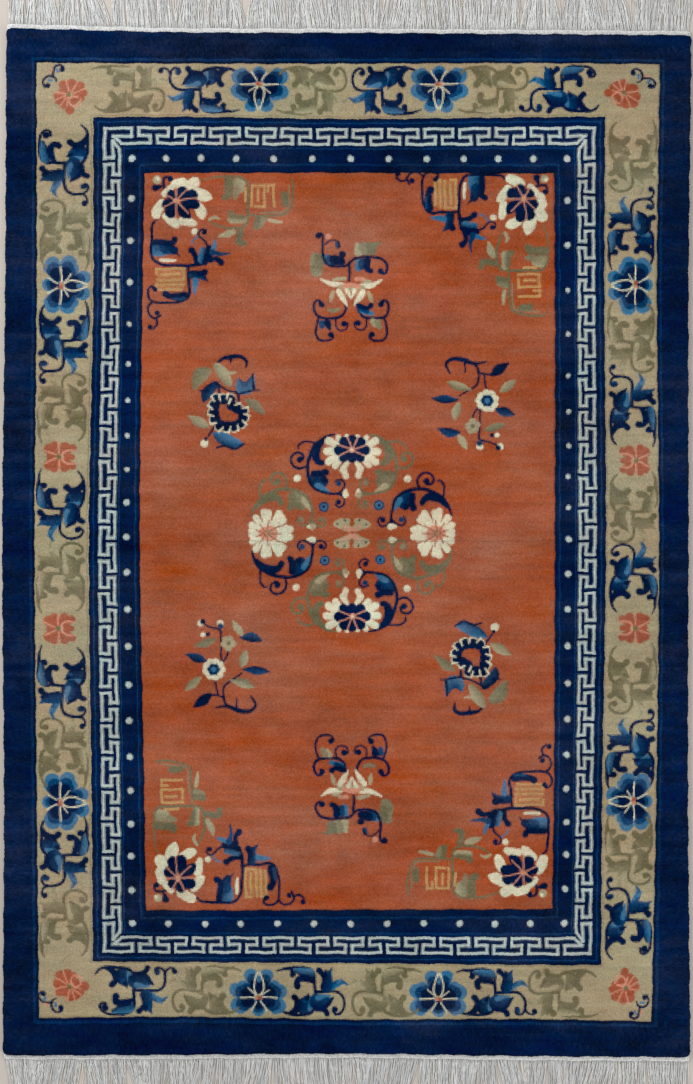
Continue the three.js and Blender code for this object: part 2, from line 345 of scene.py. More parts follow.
# One spandrel, that of the far left corner, from the heart of its flower
SPANDREL = (
    # the scroll in blue down the side
    (("navy", "sky"), (-9.4, -25.0, 8.6), (-6.8, -25.0, 8.2)),
    (("navy", "blue"), (-4.6, -24.6, 7.4), (-0.8, -26.2, 4.6)),
    ("navy", (-11.4, -21.6, 3.0), (-6.0, -22.0, 3.2), (-1.8, -22.0, 3.2), (-0.6, -20.2, 3.4)),
    ("navy", (-2.0, -26.8, 1.2), (0.4, -27.6, 1.1), (2.2, -29.4, 0.6)),
    ("ivory", (-7.8, -31.0, 1.4), (-4.6, -31.2, 1.8), (-0.4, -31.4, 1.2)),
    ("navy", (-10.2, -10.0, 1.0), (-12.5, -12.4, 1.4), (-12.9, -20.5, 1.5), (-12.8, -26.9, 1.5),
     (-11.6, -30.6, 1.5), (-8.5, -32.8, 1.5), (-4.3, -33.7, 1.6), (4.0, -34.0, 1.7),
     (10.0, -33.6, 2.0), (14.9, -32.4, 2.4)),
    ("navy", (8.2, -25.6, 3.5)),
    ("navy", (8.8, -26.4, 2.6), (10.4, -29.4, 3.0), (10.8, -32.6, 2.8)),
    (("navy", "sky"), (14.2, -26.2, 4.0), (13.6, -30.6, 4.4)),
    ("navy", (17.4, -25.2, 4.0), (17.2, -29.0, 4.6), (15.4, -32.0, 3.2)),
    ("sky", (20.6, -20.4, 0.8), (20.0, -23.4, 2.4), (19.4, -25.6, 2.6)),
    ("blue", (19.0, -27.0, 3.2), (23.4, -28.2, 2.0), (28.4, -27.4, 0.7)),
    ("navy", (18.2, -31.0, 2.6), (21.6, -30.6, 2.6), (24.0, -32.4, 3.6)),
    ("navy", (16.6, -24.4, 1.3), (15.0, -21.2, 1.2), (12.6, -19.0, 1.1), (12.0, -16.8, 1.1),
     (13.4, -15.3, 1.1), (15.4, -15.5, 1.2), (14.9, -16.8, 2.6)),
    ("sky", (8.4, -22.6, 0.8), (9.2, -20.2, 0.8), (11.6, -18.8, 0.8)),
    ("navy", (6.4, -34.4, 1.5), (7.0, -38.4, 1.5), (7.2, -44.0, 1.6), (7.6, -48.0, 1.6),
     (5.4, -51.4, 1.6), (-2.0, -53.2, 1.4), (-10.8, -53.0, 1.4), (-13.8, -50.6, 1.3),
     (-14.2, -46.8, 1.3), (-12.4, -45.0, 1.3), (-10.5, -46.4, 2.8)),
    ("navy", (-5.0, -48.6, 3.8), (-2.0, -50.0, 3.6), (4.8, -49.6, 4.4)),
    ("blue", (-0.6, -51.2, 1.4), (4.6, -51.0, 1.6)),
    (("navy", "blue"), (9.0, -38.8, 4.8), (13.6, -39.0, 4.0), (16.8, -42.0, 0.8)),
    ("navy", (12.6, -38.2, 2.6), (15.4, -37.2, 3.6)),
    ("sky", (10.6, -42.2, 3.6), (10.0, -48.4, 1.4)),
    ("navy", (-11.6, -53.2, 1.2), (-14.0, -56.0, 1.2), (-13.4, -59.6, 1.2), (-10.6, -61.4, 1.3),
     (-7.8, -60.2, 1.2)),
    ("navy", (-9.4, -58.8, 2.8)),
    ("navy", (-10.0, -61.4, 1.2), (-9.2, -64.4, 1.2), (-11.2, -66.8, 1.2)),
    ("navy", (-13.0, -66.0, 2.8)),
    # the scroll in olive across the end
    (("pale_sage", "sage"), (32.4, 9.4, 7.0), (32.6, 6.8, 5.6)),
    ("sage", (31.0, 4.4, 4.0), (30.6, 1.0, 2.0)),
    ("olive", (27.0, 10.8, 4.4), (27.0, 3.0, 4.2), (25.0, 2.0, 3.4)),
    ("olive", (13.5, 10.8, 0.7), (18.5, 12.0, 0.9), (24.2, 12.6, 1.1), (31.3, 12.7, 1.1),
     (35.6, 11.0, 1.2), (37.4, 8.0, 1.3), (37.6, 1.0, 1.3), (37.4, -8.0, 1.4),
     (36.6, -11.9, 1.4), (34.0, -13.8, 1.4), (27.0, -14.2, 1.3), (22.0, -12.8, 1.2),
     (18.2, -10.8, 1.0)),
    ("pale_sage", (17.6, -9.8, 1.4), (20.4, -8.4, 1.8), (22.6, -9.2, 1.0)),
    (("olive", "pale_sage"), (29.0, -9.6, 4.2), (35.0, -9.8, 4.0)),
    ("olive", (28.6, -6.6, 3.1)),
    ("olive", (28.6, -7.8, 2.4), (34.6, -8.6, 2.4)),
    ("pale_sage", (22.4, -18.6, 1.0), (26.4, -17.4, 3.6), (29.8, -16.0, 2.6)),
    ("olive", (33.6, -16.0, 3.4), (32.8, -21.0, 3.4), (35.8, -22.4, 2.8)),
    ("olive", (42.8, -9.0, 3.6), (42.0, -13.4, 3.8)),
    ("sage", (45.4, -9.4, 3.2), (44.4, -13.4, 2.0)),
    ("pale_sage", (48.4, -10.0, 1.8), (51.4, -10.6, 2.0), (55.2, -11.0, 1.2)),
    ("olive", (38.4, -7.7, 1.1), (48.0, -7.8, 1.2), (56.4, -7.2, 1.2), (59.2, -4.6, 1.2),
     (60.6, 0.9, 1.2), (61.2, 8.0, 1.2), (60.4, 11.4, 1.0)),
    ("sage", (44.0, -6.2, 0.8), (55.4, -5.8, 0.8), (58.2, -3.0, 0.8), (59.0, 8.0, 0.8)),
    ("olive", (56.6, 3.0, 3.8), (57.0, -1.6, 3.6)),
    # the corner
    ("navy", (-6.8, 6.9, 1.4), (-7.4, 9.4, 1.4), (-6.8, 11.9, 1.5), (-4.4, 12.3, 1.5),
     (-3.7, 11.2, 3.0)),
    ("navy", (-8.4, 7.8, 1.4), (-11.4, 7.0, 3.8)),
    ("pale_sage", (-10.7, 11.0, 4.2)),
    ("ivory", (-10.2, 11.8, 2.0)),
    # the white flower
    ("ivory", (-1.2, 8.6, 4.4), (3.0, 9.4, 5.6)),
    ("ivory", (6.2, 7.8, 5.4), (9.4, 9.8, 5.8)),
    ("ivory", (11.2, 4.6, 5.2), (14.2, 2.8, 6.2), (17.8, 1.6, 1.6)),
    ("ivory", (11.2, -2.8, 4.8), (13.0, -6.2, 5.4), (13.8, -8.6, 2.6)),
    ("ivory", (3.0, -10.4, 4.4), (6.0, -10.8, 4.6), (9.4, -11.8, 3.0)),
    ("ivory", (-5.2, -8.2, 4.4), (-2.0, -10.6, 5.2), (0.2, -12.8, 2.6)),
    ("ivory", (-7.8, -1.4, 5.0), (-9.6, -4.4, 5.4), (-10.6, -7.2, 4.6)),
    ("ivory", (-6.2, 4.0, 3.8), (-3.6, 6.2, 4.0)),
    ("ivory", (9.8, -16.0, 3.2)),
    ("navy", (3.0, 4.6, 6.2), (2.4, 1.0, 3.0)),
    ("navy", (8.2, 3.0, 6.0), (3.0, 1.0, 3.0)),
    ("navy", (9.4, -1.8, 5.4), (4.4, -2.4, 4.8)),
    ("navy", (6.6, -8.4, 2.4), (4.0, -6.2, 5.6), (2.2, -3.0, 3.4)),
    ("navy", (-3.0, -6.0, 6.0), (0.0, -2.0, 3.0)),
    ("navy", (-5.0, -1.6, 5.6), (0.0, -0.6, 2.6)),
    ("navy", (-2.8, 3.0, 5.2), (0.4, 1.0, 2.6)),
) + veins(
    ((8, 0, 10.5, 0.6), (48, 0, 8.4, 0.6), (92, 0, 7.0, 0.6), (150, 0, 7.0, 0.6),
     (206, 0, 8.0, 0.6), (268, 0, 9.0, 0.7), (312, 0, 9.0, 0.6)),
    "pink",
) + (
    ("pink", (-1.0, 0.2, 1.8), (0.6, 0.2, 2.4)),
    ("gold", (0.2, 0.2, 1.3)),
)

# The scroll of the round medallion above its right side, from the medallion's middle. It is
# turned to four sides, and mirrored for the four in olive.
MEDALLION_SCROLL = (
    (("navy", "blue"), (28.4, 18.2, 8.4), (27.0, 15.8, 7.2)),
    ("sky", (24.4, 17.4, 4.0), (22.8, 14.6, 2.8), (21.8, 12.2, 1.0)),
    ("navy", (27.8, 14.0, 2.8), (27.0, 12.4, 0.8)),
    ("navy", (31.2, 19.8, 3.6), (31.4, 16.0, 3.2), (32.0, 13.5, 3.8)),
    ("navy", (36.8, 15.9, 3.2), (38.0, 18.0, 3.6), (41.6, 19.2, 4.8), (46.4, 17.6, 4.2),
     (49.4, 14.0, 2.2)),
    ("navy", (20.5, 5.2, 1.2), (20.7, 11.1, 1.4), (21.8, 16.7, 1.4), (24.7, 20.4, 1.5),
     (29.2, 22.5, 1.7), (34.3, 23.2, 1.8), (39.9, 22.2, 2.0), (45.6, 19.6, 2.0),
     (49.2, 15.8, 1.8), (51.0, 12.2, 1.5), (51.5, 8.8, 0.8)),
    ("navy", (34.8, 23.3, 1.3), (34.0, 27.8, 1.4), (36.0, 30.9, 1.4), (39.4, 31.6, 1.4),
     (42.0, 29.5, 1.4), (41.8, 26.6, 1.4), (39.6, 25.4, 1.5), (38.6, 27.1, 3.4)),
    ("navy", (47.4, 18.6, 1.2), (48.0, 24.2, 1.2), (46.2, 27.4, 1.2), (44.2, 27.9, 0.9)),
    ("navy", (20.6, 7.2, 1.2), (18.6, 4.6, 1.1), (15.4, 3.8, 1.1), (13.4, 6.2, 1.1),
     (14.8, 8.4, 1.0)),
    ("navy", (16.1, 7.0, 2.9)),
    ("navy", (20.8, 7.2, 1.2), (22.8, 5.0, 1.1), (26.0, 3.9, 1.1), (28.2, 6.2, 1.1),
     (27.2, 8.7, 1.0)),
    ("blue", (26.0, 7.0, 2.9)),
    ("ivory", (20.1, 3.6, 3.1)),
)

# The white petals of the medallion's blossom at its far end, and the blossom's dark heart
MEDALLION_BLOSSOM = tuple(
    ("ivory", (side * x0, y0, w0), (side * x1, y1, w1))
    for side in (-1, 1)
    for x0, y0, w0, x1, y1, w1 in (
        (8.4, 46.2, 3.6, 12.2, 48.4, 4.0),
        (9.0, 43.2, 3.6, 13.0, 43.0, 4.2),
        (8.2, 40.4, 3.6, 12.0, 37.8, 4.2),
        (6.4, 38.4, 3.2, 8.4, 35.6, 3.4),
        (2.2, 48.2, 3.4, 2.8, 50.5, 2.8),
        (5.6, 47.6, 3.4, 7.3, 50.2, 2.9),
        (2.6, 36.8, 2.6, 4.6, 33.2, 3.2),
        (4.4, 34.0, 2.8, 3.2, 30.2, 3.2),
    )
)
MEDALLION_HEART = flower(
    ((0, 9.6, 5.6), (45, 9.0, 5.6), (90, 8.0, 5.6), (135, 9.0, 5.6), (180, 9.6, 5.6),
     (222, 8.4, 5.2), (270, 6.8, 5.0), (318, 8.4, 5.2)),
    ("navy",),
) + veins(
    ((22, 2, 7.6, 0.7), (68, 2, 7.4, 0.7), (112, 2, 7.4, 0.7), (158, 2, 7.6, 0.7),
     (202, 2, 7.0, 0.7), (338, 2, 7.0, 0.7)),
    "pink",
) + (
    ("pink", (0.0, 0.0, 3.2)),
    ("ivory", (0.0, 0.0, 1.5)),
)

# The blossom at the medallion's side
MEDALLION_SIDE = flower(
    both_sides(
        ((171, 14.4, 3.8), (163, 12.2, 3.0), (142, 13.0, 3.2), (133, 13.4, 3.4), (123, 14.2, 3.6),
         (98, 12.6, 3.4), (86, 13.2, 3.6), (58, 11.4, 3.8), (30, 10.2, 3.6), (8, 9.4, 3.2)), 0),
    ("ivory",),
) + (
    ("pink", (-1.8, 0.0, 8.6), (0.4, 0.0, 7.4)),
    ("beige", (-1.4, 0.0, 4.4)),
) + veins(
    ((180, 1, 8, 0.7),)
    + both_sides(((148, 1, 8, 0.7), (100, 1, 7, 0.7), (56, 1, 6, 0.7), (18, 1, 5.5, 0.7)), 0),
    "rust",
)

# The butterfly in the medallion's middle, and the spots round it
MEDALLION_MIDDLE = tuple(
    row
    for side in (-1, 1)
    for end in (-1, 1)
    for row in (
        ("beige", (side * 1.8, end * 2.0, 3.0), (side * 4.8, end * 4.8, 5.6),
         (side * 7.8, end * 4.8, 3.4)),
        ("beige", (side * 2.4, end * 6.4, 3.0)),
        ("pink", (side * 1.0, end * 1.2, 1.6), (side * 4.2, end * 3.6, 1.0)),
        ("navy", (side * 3.6, end * 6.6, 1.0)),
        ("navy", (side * 7.4, end * 4.8, 1.0)),
    )
) + (
    ("pink", (0.0, 2.4, 1.4), (0.0, -2.4, 1.4)),
    ("rust", (0.0, 0.0, 1.6)),
)
MEDALLION_SPOTS = (
    ("ivory", (29.0, 28.4, 3.6)),
    ("ivory", (3.4, 22.6, 1.6), (3.4, 20.8, 3.2)),
    ("ivory", (-3.4, 22.6, 1.6), (-3.4, 20.8, 3.2)),
    ("blue", (13.9, 14.5, 5.4)),
    ("sky", (13.9, 14.5, 3.6)),
    ("navy", (13.9, 14.5, 1.6)),
)

# The two square keys of a spandrel, from the heart of its flower: dye, width, then the bars
GOLD_KEYS = (
    ("amber", 10.0, (-4.8, -41.0), (-0.4, -41.0)),
    ("gold", 1.2, (-10.2, -38.4), (-10.2, -35.6), (4.6, -35.6), (4.6, -41.4), (-9.6, -41.4)),
    ("gold", 1.2, (-7.6, -38.4), (2.2, -38.4)),
    ("gold", 1.2, (4.6, -43.8), (-9.8, -43.8), (-9.8, -46.4), (3.6, -46.4)),
    ("gold", 1.5, (36.2, 6.5), (36.2, 0.0)),
    ("gold", 1.2, (39.5, -2.7), (39.5, 8.0), (46.2, 8.0), (46.2, -2.7), (41.5, -2.7)),
    ("gold", 1.2, (42.8, 6.0), (42.8, 0.4)),
    ("gold", 1.2, (48.2, 5.0), (48.2, 8.0), (51.0, 8.0), (51.0, -2.7)),
)

# The lotus at each end of the field, from the middle of its flower's calyx
LOTUS = (
    ("sage", (-19.0, 9.2, 5.2), (-18.8, 3.0, 6.0), (-17.2, 0.8, 3.2)),
    ("olive", (-17.2, 9.4, 4.2), (-16.8, 5.0, 4.4)),
    ("olive", (-20.2, 4.6, 2.4)),
    ("pale_sage", (2.8, 16.0, 2.0), (3.4, 12.4, 4.8)),
    ("sage", (6.2, 14.6, 5.4), (7.4, 12.6, 5.4)),
    ("olive", (9.6, 14.8, 4.8), (10.6, 12.8, 4.8)),
    ("olive", (11.4, 15.8, 3.0), (14.4, 17.2, 1.2)),
    ("navy", (-17.6, 20.8, 3.4)),
    ("pink", (-12.4, 20.4, 3.2)),
    (("navy", "blue"), (-7.2, 16.9, 2.6), (-7.0, 15.4, 2.6)),
    ("sky", (-13.0, 8.6, 4.2), (-12.4, 7.4, 4.4)),
    ("blue", (-11.0, 8.0, 5.0), (-10.0, 7.4, 4.6)),
    ("navy", (-8.8, 8.2, 5.4), (-5.8, 7.4, 4.8)),
    ("navy", (-5.1, 11.0, 3.8)),
    ("sky", (3.4, 7.0, 3.6), (3.6, 4.0, 3.8)),
    ("blue", (5.4, 7.0, 3.8), (5.4, 4.4, 3.6)),
    ("navy", (8.0, 7.2, 4.0), (8.0, 4.4, 3.8), (9.0, 2.8, 3.0), (10.2, 2.2, 2.8)),
    ("navy", (-16.6, 21.9, 1.3), (-15.2, 20.0, 1.4), (-15.2, 12.0, 1.5), (-13.6, 6.4, 1.5),
     (-10.6, 4.8, 1.5), (-3.4, 4.9, 1.5), (0.2, 8.2, 1.5), (3.4, 9.3, 1.5), (11.8, 9.3, 1.5),
     (16.0, 8.3, 1.5), (18.6, 5.2, 1.5), (18.4, 2.0, 1.5), (16.8, 0.6, 1.5), (15.3, 1.9, 3.2)),
    ("navy", (-14.4, 15.6, 0.9), (-11.0, 18.2, 0.9), (-7.4, 18.2, 0.9), (-6.6, 17.0, 0.9)),
    ("navy", (-1.2, 5.2, 1.7), (-1.1, -2.8, 1.2)),
    ("pale_sage", (-3.6, -1.8, 2.0), (-9.0, -2.6, 2.0)),
    ("pink", (2.6, -1.8, 2.2), (6.0, -1.8, 2.0)),
    ("pale_sage", (7.0, -3.0, 2.2), (9.4, -3.4, 2.0)),
    ("ivory", (-4.6, -5.0, 2.0), (-9.4, -4.8, 2.6), (-16.2, -2.2, 0.8)),
    ("ivory", (5.2, -5.2, 2.0), (10.2, -5.2, 2.7), (15.5, -2.6, 0.8)),
    ("beige", (-5.4, -6.8, 3.2), (0.0, -6.4, 4.0), (5.8, -6.8, 3.2)),
    ("pink", (-3.4, -5.6, 2.2), (0.2, -5.0, 2.4), (3.8, -5.8, 2.2)),
    ("beige", (-9.6, -8.6, 1.6), (-10.0, -10.8, 2.5), (-10.7, -13.8, 0.8)),
    ("beige", (8.6, -8.6, 1.6), (9.5, -11.0, 2.4), (10.6, -14.0, 0.8)),
    ("ivory", (-6.8, -8.6, 2.6), (-4.6, -12.0, 2.8), (-2.5, -15.8, 0.8)),
    ("ivory", (5.8, -8.8, 2.8), (3.8, -12.0, 3.2), (1.5, -15.8, 0.8)),
    ("ivory", (-2.4, -7.8, 2.4), (-0.6, -12.0, 0.9)),
    ("ivory", (1.4, -7.8, 2.4), (-0.2, -12.0, 0.9)),
    ("pink", (-4.4, -6.4, 0.9), (-2.9, -11.4, 0.6)),
    ("pink", (3.6, -6.4, 0.9), (1.9, -11.4, 0.6)),
    ("sage", (-12.2, -17.8, 1.4), (-9.6, -18.6, 2.4), (-6.8, -17.8, 1.4)),
    ("sky", (5.2, -19.0, 2.2), (10.6, -20.0, 2.6)),
    ("blue", (3.8, -17.4, 2.6), (8.0, -18.8, 3.0)),
    ("navy", (2.8, -15.6, 1.6), (5.0, -16.6, 3.0), (8.4, -17.0, 2.2), (10.2, -15.8, 3.2)),
    ("blue", (-15.6, -25.0, 3.2), (-15.4, -26.8, 3.0)),
    ("navy", (-12.8, -24.8, 4.0), (-12.2, -26.4, 3.2)),
    ("navy", (-11.4, -28.0, 2.2)),
    ("pale_sage", (11.4, -24.2, 3.0), (12.4, -26.0, 2.8)),
    ("sage", (13.8, -24.6, 3.4), (14.6, -27.0, 2.6)),
)

# One of the two scrolls under the lotus, and it is mirrored for the other
LOTUS_SCROLL = (
    ("navy", (-3.2, -15.2, 1.4), (-3.4, -18.2, 1.5), (-5.6, -21.4, 1.5), (-9.0, -22.4, 1.5),
     (-14.4, -22.4, 1.5), (-18.0, -21.0, 1.5), (-19.6, -17.6, 1.5), (-19.0, -14.2, 1.4),
     (-16.8, -13.2, 1.4), (-15.6, -15.2, 3.2)),
    ("navy", (-17.2, -22.6, 1.3), (-18.2, -26.0, 1.3), (-18.4, -30.6, 1.3), (-16.4, -34.0, 1.3),
     (-11.6, -34.4, 1.2), (-9.4, -32.8, 1.2), (-10.4, -31.3, 3.2)),
    ("navy", (-8.0, -22.6, 1.0), (-8.0, -26.6, 1.0), (-5.8, -28.6, 1.0), (-2.6, -28.0, 1.0),
     (-1.8, -25.4, 1.1), (-3.7, -25.2, 3.2)),
)

# The leaves and stems of the chrysanthemum spray, from the middle of its ring of beads
CHRYSANTHEMUM = (
    ("navy", (-5.8, 27.6, 1.0), (-2.4, 30.2, 1.8), (2.4, 31.2, 2.5), (7.2, 30.8, 2.1),
     (9.8, 28.4, 1.8), (9.4, 25.6, 0.9)),
    ("navy", (1.6, 30.2, 1.8), (1.6, 28.2, 0.8)),
    (("pale_sage", "sage"), (-5.6, 26.4, 3.4), (-2.6, 22.8, 6.0), (0.2, 18.4, 4.4), (1.8, 16.4, 1.0)),
    ("pale_sage", (0.4, 22.8, 1.8), (4.4, 23.0, 0.8)),
    (("sage", "olive"), (-10.6, 23.6, 4.6), (-14.4, 21.0, 7.2), (-17.0, 15.2, 2.8)),
    (("navy", "blue"), (-12.0, 7.6, 1.0), (-10.6, 12.0, 6.0), (-7.0, 15.8, 4.6), (-5.2, 17.8, 1.0)),
    ("navy", (-14.4, 13.4, 0.8), (-10.4, 13.2, 2.0)),
    ("navy", (-6.4, 17.2, 1.4), (-1.6, 14.8, 1.1), (2.4, 13.0, 1.1), (5.8, 12.0, 1.4), (6.2, 6.4, 1.0)),
    ("navy", (-4.4, 15.8, 1.4), (-3.6, 10.6, 1.2)),
    (("blue", "sky"), (6.2, 19.4, 1.2), (7.6, 15.4, 6.2), (11.6, 15.6, 6.2), (13.6, 21.6, 1.2)),
    ("navy", (13.4, 21.8, 1.0), (13.8, 14.4, 1.6)),
    ("navy", (6.2, 12.0, 1.2), (12.0, 13.2, 1.2), (16.6, 13.4, 0.7)),
    (("sage", "olive"), (9.6, 8.6, 1.4), (14.2, 5.8, 5.2), (19.4, 1.4, 1.2)),
    (("pale_sage", "sage"), (-19.6, 0.0, 1.2), (-14.6, -2.6, 5.4), (-9.8, -5.6, 1.4)),
    (("sky", "blue"), (-6.6, -8.8, 1.6), (-2.0, -11.4, 6.2), (3.6, -13.8, 5.6), (8.6, -14.8, 0.9)),
    ("navy", (-4.6, -16.2, 1.0), (-0.4, -15.4, 1.3), (4.4, -17.0, 1.3), (9.0, -14.6, 1.0)),
    ("navy", (-6.2, -5.0, 1.2), (-9.8, -10.4, 1.1)),
    ("ivory", (-11.4, -14.2, 4.2)),
    ("navy", (-10.9, -12.0, 2.0)),
)

# The chrysanthemum itself: the places of the beads round it, and the middle of the ring
BEADS = (
    (-1.6, 8.8), (-5.0, 8.8), (-6.4, 5.4), (-6.6, 2.0), (-6.2, -1.4), (-3.4, -4.6), (0.2, -5.4),
    (3.8, -5.2), (7.0, -3.6), (8.4, -0.4), (8.0, 2.8), (5.0, 4.2), (2.4, 5.6), (1.8, 8.8),
)
BEAD_MIDDLE = (1.0, 1.2)

# The plum branch, from the heart of its open flower
PLUM_BRANCH = (
    ("navy", (-19.4, 14.2, 1.1), (-21.4, 18.4, 1.6), (-18.6, 21.6, 2.0), (-12.7, 21.8, 2.6),
     (-6.8, 19.4, 1.8), (-0.8, 20.4, 0.8)),
    ("navy", (-11.4, 21.0, 1.4), (-11.8, 15.0, 0.7)),
    ("navy", (-6.6, 19.0, 1.4), (-5.0, 16.6, 1.4), (-4.6, 10.0, 1.2), (-7.6, 6.6, 1.1),
     (-14.2, 2.4, 0.9)),
    ("navy", (-5.0, 15.2, 1.0), (-0.8, 13.8, 1.1), (3.2, 13.4, 1.1)),
    ("navy", (-1.8, 13.8, 1.0), (-0.2, 6.0, 1.0)),
    ("navy", (-4.6, -3.6, 1.0), (-6.8, -6.4, 1.0), (-7.6, -9.6, 1.0)),
    ("navy", (-4.2, -3.6, 1.1), (-3.6, -10.8, 1.0), (-3.8, -16.0, 1.0), (-3.5, -20.4, 1.1),
     (2.1, -22.0, 1.0), (5.6, -24.6, 1.0)),
    (("blue", "navy"), (-28.8, 1.4, 0.9), (-22.2, 0.8, 4.6), (-15.0, 0.4, 0.9)),
    ("navy", (2.8, 13.6, 2.4), (6.4, 16.4, 5.4), (11.0, 19.8, 1.0)),
    (("pale_sage", "olive"), (-20.8, 9.4, 0.9), (-15.6, 7.6, 4.8), (-8.4, 5.4, 0.9)),
    (("pale_sage", "sage"), (7.0, 4.6, 0.9), (10.8, 7.4, 4.6), (14.6, 10.6, 0.9)),
    (("sage", "pale_sage"), (-14.2, -1.2, 0.9), (-15.9, -5.0, 4.6), (-16.6, -9.4, 1.4)),
    (("sage", "olive"), (-1.2, -15.8, 0.9), (4.2, -13.8, 4.4), (9.6, -12.2, 0.9)),
    ("pale_sage", (-14.8, -18.0, 1.2), (-12.6, -21.2, 4.2), (-10.6, -25.0, 1.0)),
    (("navy", "blue"), (4.2, -4.0, 1.0), (9.0, -5.8, 5.0), (14.4, -7.4, 0.9)),
    (("navy", "blue"), (-25.4, -15.0, 0.9), (-19.6, -16.8, 5.2), (-14.0, -16.6, 0.9)),
    ("beige", (-7.6, -11.0, 3.8)),
    ("beige", (-9.8, -13.2, 3.8)),
    ("beige", (-5.4, -13.0, 3.8)),
    ("beige", (-8.4, -15.4, 3.8)),
    ("beige", (-6.2, -15.2, 3.6)),
    ("olive", (-7.6, -13.2, 2.2)),
    ("ivory", (-3.8, -24.0, 3.6)),
    ("blue", (-3.8, -22.4, 3.0)),
    ("navy", (2.7, -18.2, 2.4)),
    ("ivory", (5.2, -18.2, 2.6)),
    ("ivory", (6.8, -24.2, 3.4)),
    ("navy", (5.6, -25.0, 2.8)),
) + flower(all_round(9, 18, 6.0, 4.0), ("ivory",)) + (
    ("ivory", (0.0, 0.0, 7.0)),
    ("blue", (0.0, 0.0, 6.2)),
) + veins(all_round(6, 0, 1, 3.2, 0.8), "navy") + (
    ("sky", (0.0, 0.0, 2.8)),
)

# Where the motifs of the field stand: motif, place across and along in mm, turn in degrees
FIELD_MOTIFS = (
    (SPANDREL, -307, 604, 0),
    (SPANDREL, 310, 608, -90),
    (SPANDREL, 312, -589, 180),
    (SPANDREL, -306, -596, 90),
    (LOTUS, 5, 472, 0),
    (LOTUS, 4, -460, 180),
    (CHRYSANTHEMUM, -213, 222, 0),
    (CHRYSANTHEMUM, 220, -200, 180),
    (PLUM_BRANCH, 245, 250, 0),
    (PLUM_BRANCH, -237, -226, 180),
)
MEDALLION_AT = (7.8, 14.3)   # the medallion's middle, in mm
MEDALLION_HEART_AT = 43.5    # from there to the hearts of its blossoms, in knots
MEDALLION_SIDE_AT = 44.5

# The corners of the main border: the flower's place in mm, and its turn in degrees
CORNERS = (
    (489, 794, 0),
    (-496, 791, 90),
    (-497, -794, 180),
    (501, -790, -90),
)


def daylight(colour):
    """A colour as seen, turned into the linear light that Blender reckons with."""
    value = np.array(colour[:3], dtype=float)
    return np.where(value <= 0.04045, value / 12.92, ((value + 0.055) / 1.055) ** 2.4)


def curve_through(values, at):
    """A smooth curve through evenly spaced values. at runs from 0 to the last value's place."""
    values = np.asarray(values, dtype=float)
    last = len(values) - 1
    at = np.clip(at, 0, last)
    cell = np.minimum(at.astype(int), last - 1)
    t = at - cell
    before, here, after, beyond = (values[np.clip(cell + k, 0, last)] for k in (-1, 0, 1, 2))
    if values.ndim > 1:
        t = t[..., None]
    slope_in, slope_out, rise = (after - before) / 2, (beyond - here) / 2, after - here
    bend = 3 * rise - 2 * slope_in - slope_out
    return here + slope_in * t + bend * t ** 2 + (slope_in + slope_out - 2 * rise) * t ** 3


def pushed(lines, place, station):
    """How far points lie off their straight places, between the two lines beside them."""
    station = (np.asarray(station, dtype=float) + 1) * 2
    places = np.array([line[0] for line in lines], dtype=float)
    offsets = np.array([curve_through(line[1], station) for line in lines])
    above = np.clip(np.searchsorted(places, place), 1, len(places) - 1)
    t = np.clip((place - places[above - 1]) / (places[above] - places[above - 1]), 0, 1)
    pick = np.arange(len(place))
    return offsets[above - 1, pick] * (1 - t) + offsets[above, pick] * t


def uneven(x, y):
    """Moves points of the straight plan to where they lie on the uneven rug."""
    x, y = np.broadcast_arrays(np.asarray(x, dtype=float), np.asarray(y, dtype=float))
    flat_x, flat_y = x.ravel(), y.ravel()
    moved_x = flat_x + pushed(SIDE_LINES, flat_x, flat_y / (LENGTH / 2))
    moved_y = flat_y + pushed(END_LINES, flat_y, flat_x / (WIDTH / 2))
    moved_x += sum(far * np.sin(flat_y / along + flat_x / over)
                   for far, along, over, _, _ in WANDER)
    moved_y += sum(far * np.sin(flat_x / along + flat_y / over)
                   for far, _, _, along, over in WANDER)
    return moved_x.reshape(x.shape), moved_y.reshape(x.shape)


